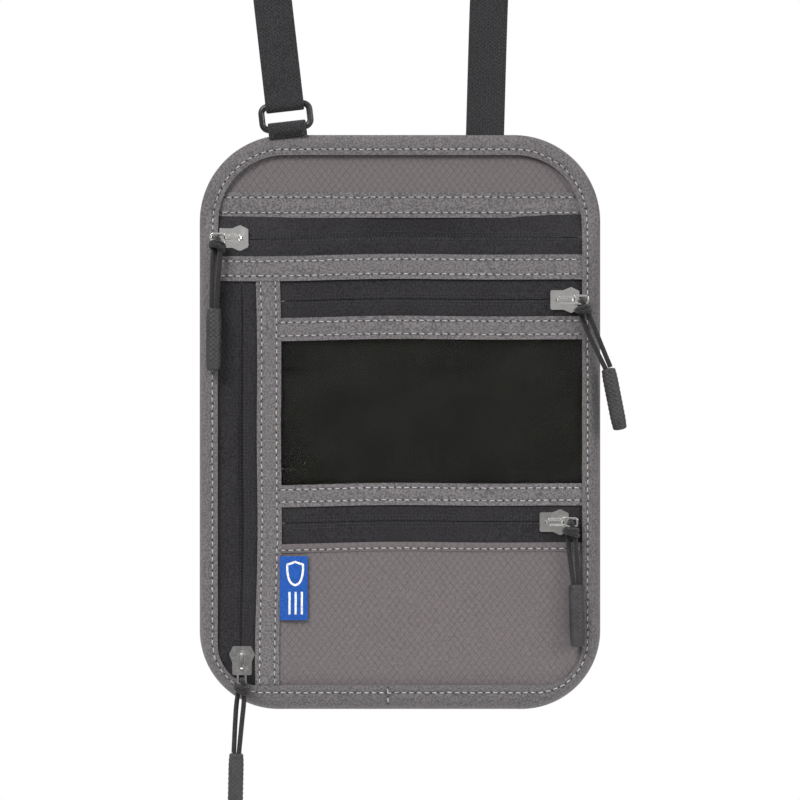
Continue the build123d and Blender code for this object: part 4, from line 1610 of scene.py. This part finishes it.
@dataclass(frozen=True)
class Pull:
    """A zip's slider, its tab, and the cord and grip that hang from the tab.

    A station is the x, height and depth between the cord's two strands, and half their
    spacing from front to back and from side to side.
    """

    name: str
    stations: tuple[tuple[float, float, float, float, float], ...]
    tip: tuple[float, float, float]
    length: float
    diameter: float = 1.9

    def route(self) -> Array:
        """Points of the cord's route: up one strand, over the tab's rail and down the other."""
        x, height, depth, back, beside = np.array(self.stations).T
        way = unit(np.gradient(np.stack([x, height], axis=-1), axis=0))
        out, up = -way[:, 1] * beside, way[:, 0] * beside
        first = at(x + out, height + up, depth + back)
        second = at(x - out, height - up, depth - back)
        return np.concatenate([first[::-1], second])

    def build_cord(self, finish: bpy.types.Material) -> None:
        """Args:
            finish: The cord's material.
        """
        route = self.route()
        line = route_line(route, 0.6)
        way = tangents(line)
        side = unit(np.array([1.0, 0.0, 0.0]) - way * way[:, :1])
        cord = sweep(f"{self.name}_cord_braid", line, side, circle(self.diameter / 2, 14))
        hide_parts(f"{self.name}_pull_cord")
        dress(cord, finish, f"{self.name}_pull")
        self.build_hitch(finish)

    def build_hitch(self, finish: bpy.types.Material) -> bpy.types.Object:
        """Makes the two turns of cord that cross over both strands and hold the hitch.

        Args:
            finish: The cord's material.

        Returns:
            The turns.
        """
        start, end = np.array(self.stations[1][:3]), np.array(self.stations[2][:3])
        middle = at(*(start * 0.75 + end * 0.25)) + FORWARD * 0.9 * MM
        axis = unit(at(*end) - at(*start))
        side = unit(np.cross(axis, BACKWARD))
        up = np.cross(side, axis)
        turn = np.linspace(0, 4 * math.pi, 96, endpoint=False)[:, None]
        shift = 0.5 * np.cos(turn) - 0.95 * np.cos(turn / 2) - 0.5
        oval = side * 2.35 * np.cos(turn) + up * 2.7 * np.sin(turn)
        line = middle + (oval + axis * shift) * MM
        across = unit(np.cross(tangents(line, closed=True), unit(line - middle)))
        made = sweep(f"{self.name}_cord_hitch", line, across, circle(1.0, 12), closed=True)
        return dress(made, finish, f"{self.name}_pull")

    def build_grip(self, finish: bpy.types.Material) -> None:
        """Makes the moulded grip: a bar with a braided face and rounded ends.

        Args:
            finish: The grip's material.
        """
        x, height, depth = self.stations[-1][:3]
        mouth, tip = at(x, height, depth), at(*self.tip)
        axis = unit(tip - mouth)
        side = unit(BACKWARD - axis * axis[1])
        up = np.cross(axis, side)
        length = 24.5
        rows, columns = 110, 48
        share = np.linspace(0, 1, rows)[:, None]
        place = share * length
        turn = np.linspace(0, 2 * math.pi, columns, endpoint=False)[None]
        ends = np.sqrt(np.clip(1 - (1 - np.clip(place / 0.9, 0, 1)) ** 2, 0, 1))
        ends = ends * np.sqrt(np.clip(1 - (1 - np.clip((length - place) / 1.0, 0, 1)) ** 2, 0, 1))
        radius = 2.75 + 0.15 * smoothstep(place, 1.0, 5.0) - 0.2 * smoothstep(place, 19.0, 24.0)
        body = smoothstep(place, 1.0, 2.0) * (1 - smoothstep(place, 22.4, 23.6))
        ribs = np.abs(np.sin(4.0 * turn + place * 1.7)) * np.abs(np.sin(4.0 * turn - place * 1.7))
        radius = (0.9 + (radius - 0.9 + body * (0.24 * ribs**0.6 - 0.12)) * ends) * MM
        points = mouth + axis * (place * MM)[..., None] + radius[..., None] * (
            side * np.cos(turn)[..., None] + up * np.sin(turn)[..., None]
        )
        first, last = (np.broadcast_to(ring.mean(axis=0), ring.shape)[None] for ring in points[[0, -1]])
        points = np.concatenate([first, points, last])
        grip = grid(f"{self.name}_grip_moulding", points, wrap_u=True)
        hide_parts(f"{self.name}_pull_grip")
        dress(grip, finish, f"{self.name}_pull")

    def build_metal(self, finish: bpy.types.Material) -> None:
        """Rounds and dresses the slider and its tab.

        Args:
            finish: The metal.
        """
        slider = softened(f"{self.name}_slider", f"{self.name}_slider_cast", 0.34)
        dress(slider, finish, f"{self.name}_slider")
        tab = softened(f"{self.name}_pull_tab", f"{self.name}_tab_cast", 0.28)
        dress(tab, finish, f"{self.name}_pull")


PULLS = (
    Pull(
        "main",
        (
            (-71.25, 71.745, 9.3, 1.85, 0.3),
            (-71.3, 68.8, 9.6, 1.8, 0.9),
            (-71.4, 65.4, 10.9, 0.9, 1.5),
            (-71.7, 60.5, 11.1, 0.2, 1.4),
            (-72.1, 53.0, 11.3, 0.0, 1.05),
            (-72.4, 44.5, 11.4, 0.0, 1.0),
        ),
        (-72.6, 20.0, 11.4),
        57.7,
    ),
    Pull(
        "front",
        (
            (70.7, 47.545, 11.05, 1.85, 0.3),
            (70.9, 44.6, 11.05, 1.8, 0.9),
            (72.8, 39.5, 11.05, 0.9, 1.6),
            (76.2, 31.5, 11.0, 0.2, 1.4),
            (81.0, 21.0, 10.95, 0.0, 1.0),
        ),
        (85.6, -2.3, 10.95),
        60.0,
    ),
    Pull(
        "pocket",
        (
            (66.5, -39.055, 11.05, 1.85, 0.3),
            (66.5, -42.0, 11.05, 1.8, 0.9),
            (66.9, -47.0, 11.15, 0.9, 1.5),
            (67.5, -54.0, 11.3, 0.2, 1.3),
            (68.4, -63.0, 11.5, 0.0, 1.0),
        ),
        (69.2, -87.5, 11.6),
        50.7,
    ),
    Pull(
        "side",
        (
            (-61.6, -100.35, 11.05, 1.85, 0.3),
            (-61.6, -103.3, 11.05, 1.8, 0.9),
            (-62.1, -108.2, 11.05, 0.9, 1.5),
            (-62.9, -117.0, 11.05, 0.2, 1.3),
            (-63.7, -128.7, 11.0, 0.0, 1.0),
        ),
        (-64.2, -153.0, 11.0),
        59.5,
    ),
)


# ---- Strap ----------------------------------------------------------------------


class Strap:
    """The webbing neck strap with its ring, its return and its tri-glide."""

    width: float = 15.0
    thickness: float = 1.3
    length: float = 0.7167
    lean: float = math.radians(6.5)
    anchor_x: float = -43.9
    wrap: float = 2.0
    ring_low: float = 2.7
    ring_high: float = 11.8
    glide: float = 120.0
    route: tuple[tuple[float, float, float], ...] = (
        (33.3, 111.5, 0.0),
        (34.1, 142.0, 0.1),
        (35.2, 175.0, 0.0),
        (36.9, 210.0, 0.1),
        (40.2, 248.0, 0.0),
        (45.6, 288.0, 0.0),
        (50.6, 330.0, 0.0),
        (52.6, 370.0, 0.0),
        (50.2, 402.8, 0.0),
        (35.4, 428.4, 0.0),
        (9.8, 443.15, 0.0),
        (-19.8, 443.15, 0.0),
        (-45.4, 428.4, 0.0),
        (-60.2, 402.8, 0.0),
        (-63.9, 372.0, 0.0),
        (-65.0, 336.0, -0.4),
        (-64.0, 300.0, -1.2),
        (-61.2, 264.0, -1.9),
        (-55.6, 214.9, -2.0),
        (-50.4, 169.2, -2.05),
        (-45.2, 124.2, -2.0),
    )

    def __init__(self, finishes: Finishes) -> None:
        """Keeps the materials and works out the left leg's directions."""
        self.finishes = finishes
        self.across = np.array([math.cos(self.lean), 0.0, math.sin(self.lean)])
        self.up = np.array([-math.sin(self.lean), 0.0, math.cos(self.lean)])
        self.anchor = at(self.anchor_x, EDGE.top, 0.0)

    def webbing(self) -> tuple[bpy.types.Object, Array]:
        """Makes the long webbing, which turns a quarter to cross the neck and turns back.

        Returns:
            The webbing and the points of its line, in metres.
        """
        place = np.array(self.route)
        line = route_line(at(*place.T), 2.5)
        way = tangents(line)
        share = np.linspace(0, 1, len(line))
        turn = math.pi / 2 * (smoothstep(share, 0.14, 0.30) - smoothstep(share, 0.58, 0.74))
        flat = unit(np.cross(BACKWARD, way))
        through = np.cross(way, flat)
        side = flat * np.cos(turn)[:, None] + through * np.sin(turn)[:, None]
        profile = flat_bar(self.width, self.thickness, 16)
        return sweep("neck_webbing", line, side, profile), line

    def looped(self, name: str, start: float, turn_at: float, way: int) -> bpy.types.Object:
        """Webbing that runs to a bar of the ring, round it and back behind itself.

        Args:
            name: The piece's name.
            start: Place of both ends, up the leg from the anchor, in millimetres.
            turn_at: Place of the ring's bar.
            way: 1 where the webbing runs up to the bar, and -1 where it runs down to it.

        Returns:
            The new object.
        """
        run = np.linspace(start, turn_at, max(int(abs(turn_at - start) / 2.0), 4))
        turn = np.linspace(0, math.pi, 16)[1:-1]
        along = np.concatenate([run, turn_at + way * self.wrap * np.sin(turn)])
        depth = np.concatenate([np.full(len(run), self.wrap), self.wrap * np.cos(turn)])
        if way > 0:
            along = np.concatenate([along, run[::-1]])
            depth = np.concatenate([depth, np.full(len(run), -self.wrap)])
        else:
            along, depth = np.append(along, turn_at), np.append(depth, -self.wrap)
        line = self.anchor + self.up * (along * MM)[:, None] + FORWARD * (depth * MM)[:, None]
        side = np.broadcast_to(self.across, line.shape)
        return sweep(name, line, side, flat_bar(self.width, self.thickness, 16))

    def bar_tack(self) -> bpy.types.Object:
        """Makes the dense zigzag seam that holds the webbing behind the binding."""
        share = np.linspace(0, 1, 29)
        zigzag = np.where(np.arange(29) % 2 == 0, -1.0, 1.0)
        line = (
            self.anchor
            + self.across * ((share - 0.5) * 12.0 * MM)[:, None]
            + self.up * ((0.2 + zigzag * 1.1) * MM)[:, None]
            + FORWARD * (self.wrap + self.thickness / 2 + 0.1) * MM
        )
        return laid("bar_tack", line, circle(0.28, 8))

    def build(self) -> None:
        f = self.finishes
        webbing, line = self.webbing()
        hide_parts("strap_webbing")
        dress(webbing, f.webbing, "pouch")
        tab = self.looped("anchor_loop", -1.0, self.ring_low, 1)
        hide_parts("strap_anchor_tab")
        dress(tab, f.webbing, "pouch")
        back = self.looped("return_layer", self.glide, self.ring_high, -1)
        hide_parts("strap_return")
        dress(back, f.webbing, "pouch")
        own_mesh(back)
        dress(self.bar_tack(), f.dark_thread, "pouch")
        ring = softened("strap_ring", "leg_ring", 0.1, 1)
        dress(ring, f.hardware, "pouch")
        glide = softened("tri_glide", "leg_tri_glide", 0.4)
        dress(glide, f.hardware, "tri_glide")


# ---- Stage ----------------------------------------------------------------------


class Studio:
    """Camera, soft lights, pale surroundings and floor."""

    view_width: float = 312.0
    view_height: float = 8.6
    distance: float = 1560.0
    floor_gap: float = 60.0
    floor_radius: float = 350.0

    def camera(self) -> None:
        """Makes the camera, level with the pouch and straight in front of it."""
        lens = bpy.data.cameras.new("camera")
        lens.sensor_width = 36.0
        lens.lens = self.distance / self.view_width * lens.sensor_width
        lens.clip_start, lens.clip_end = 0.05, 20.0
        made = bpy.data.objects.new("camera", lens)
        made.location = (0.0, -self.distance * MM - 0.008, self.view_height * MM + POUCH_Z)
        made.rotation_euler = (math.pi / 2, 0.0, 0.0)
        bpy.context.scene.collection.objects.link(made)
        bpy.context.scene.camera = made

    def lights(self) -> None:
        """Makes the large soft lights: the key, one from the side and one from behind."""
        for name, place, turn, size, power in (
            ("key", (-0.8, -1.1, POUCH_Z + 1.1), (math.radians(51), 0.0, math.radians(-36)), 0.7, 26.0),
            ("side", (1.2, -0.8, POUCH_Z + 0.4), (math.radians(74), 0.0, math.radians(56)), 0.6, 9.0),
            ("back", (0.4, 1.3, POUCH_Z + 0.9), (math.radians(-55), 0.0, math.radians(-16)), 0.9, 8.0),
        ):
            lamp = bpy.data.lights.new(name, "AREA")
            lamp.size, lamp.energy = size, power
            made = bpy.data.objects.new(name, lamp)
            made.location, made.rotation_euler = place, turn
            bpy.context.scene.collection.objects.link(made)

    def surroundings(self) -> None:
        """Makes white surroundings that light the pouch less than they show, least from below."""
        world = bpy.data.worlds.new("studio")
        world.use_nodes = True
        bpy.context.scene.world = world
        tree = Tree(world.node_tree)
        shows = tree.node("ShaderNodeLightPath").outputs["Is Camera Ray"]
        back = world.node_tree.nodes["Background"]
        back.inputs["Color"].default_value = (1.0, 1.0, 1.0, 1.0)
        split = tree.node("ShaderNodeSeparateXYZ")
        tree.put(split.inputs[0], tree.node("ShaderNodeTexCoord").outputs["Generated"])
        front = tree.ramp(split.outputs["Y"], -0.99, -0.6, 0.45, 0.8)
        lit = tree.math("MULTIPLY", front, tree.ramp(split.outputs["Z"], -0.12, 0.12, 0.3, 1.0))
        tree.put(back.inputs["Strength"], tree.math("MAXIMUM", lit, shows))
        bpy.context.scene.view_settings.view_transform = "Standard"

    def floor(self) -> None:
        """Makes the pale round floor under the pouch."""
        turn = np.linspace(0, 2 * math.pi, 96, endpoint=False)[None]
        low = CAD_BOX[0][2] - self.floor_gap * MM
        radius = (np.array([0.0, 0.3, 0.9, 1.0, 1.0, 0.0]) * self.floor_radius * MM)[:, None]
        level = (np.array([0.0, 0.0, 0.0, -2.0, -12.0, -12.0]) * MM + low)[:, None]
        x, y = radius * np.cos(turn), radius * np.sin(turn)
        disc = grid("floor", np.stack([x, y, np.broadcast_to(level, x.shape)], axis=-1), wrap_u=True)
        made, tree, shader = new_material("floor_paint")
        grain = tree.noise(tree.node("ShaderNodeTexCoord").outputs["Object"], 6.0, 3.0)
        grey = (1.0, 1.0, 1.0)
        tree.put(shader.inputs["Base Color"], tree.mix(grain, shade(grey, 0.8), shade(grey, 0.86)))
        shader.inputs["Roughness"].default_value = 0.7
        disc.data.materials.append(made)


def main() -> None:
    """Builds the studio, the cords, and then the rest of the pouch."""
    logging.basicConfig(level=logging.INFO, format="%(name)s %(message)s")
    studio = Studio()
    studio.camera()
    finishes = Finishes(Groups())
    strap = Strap(finishes)
    strap.build()
    for pull in PULLS:
        pull.build_cord(finishes.cord)
        pull.build_grip(finishes.grip)
        pull.build_metal(finishes.metal)
    Pouch(finishes).build()
    Zips(finishes).build()
    studio.lights()
    studio.surroundings()
    studio.floor()


if __name__ == "__main__":
    main()
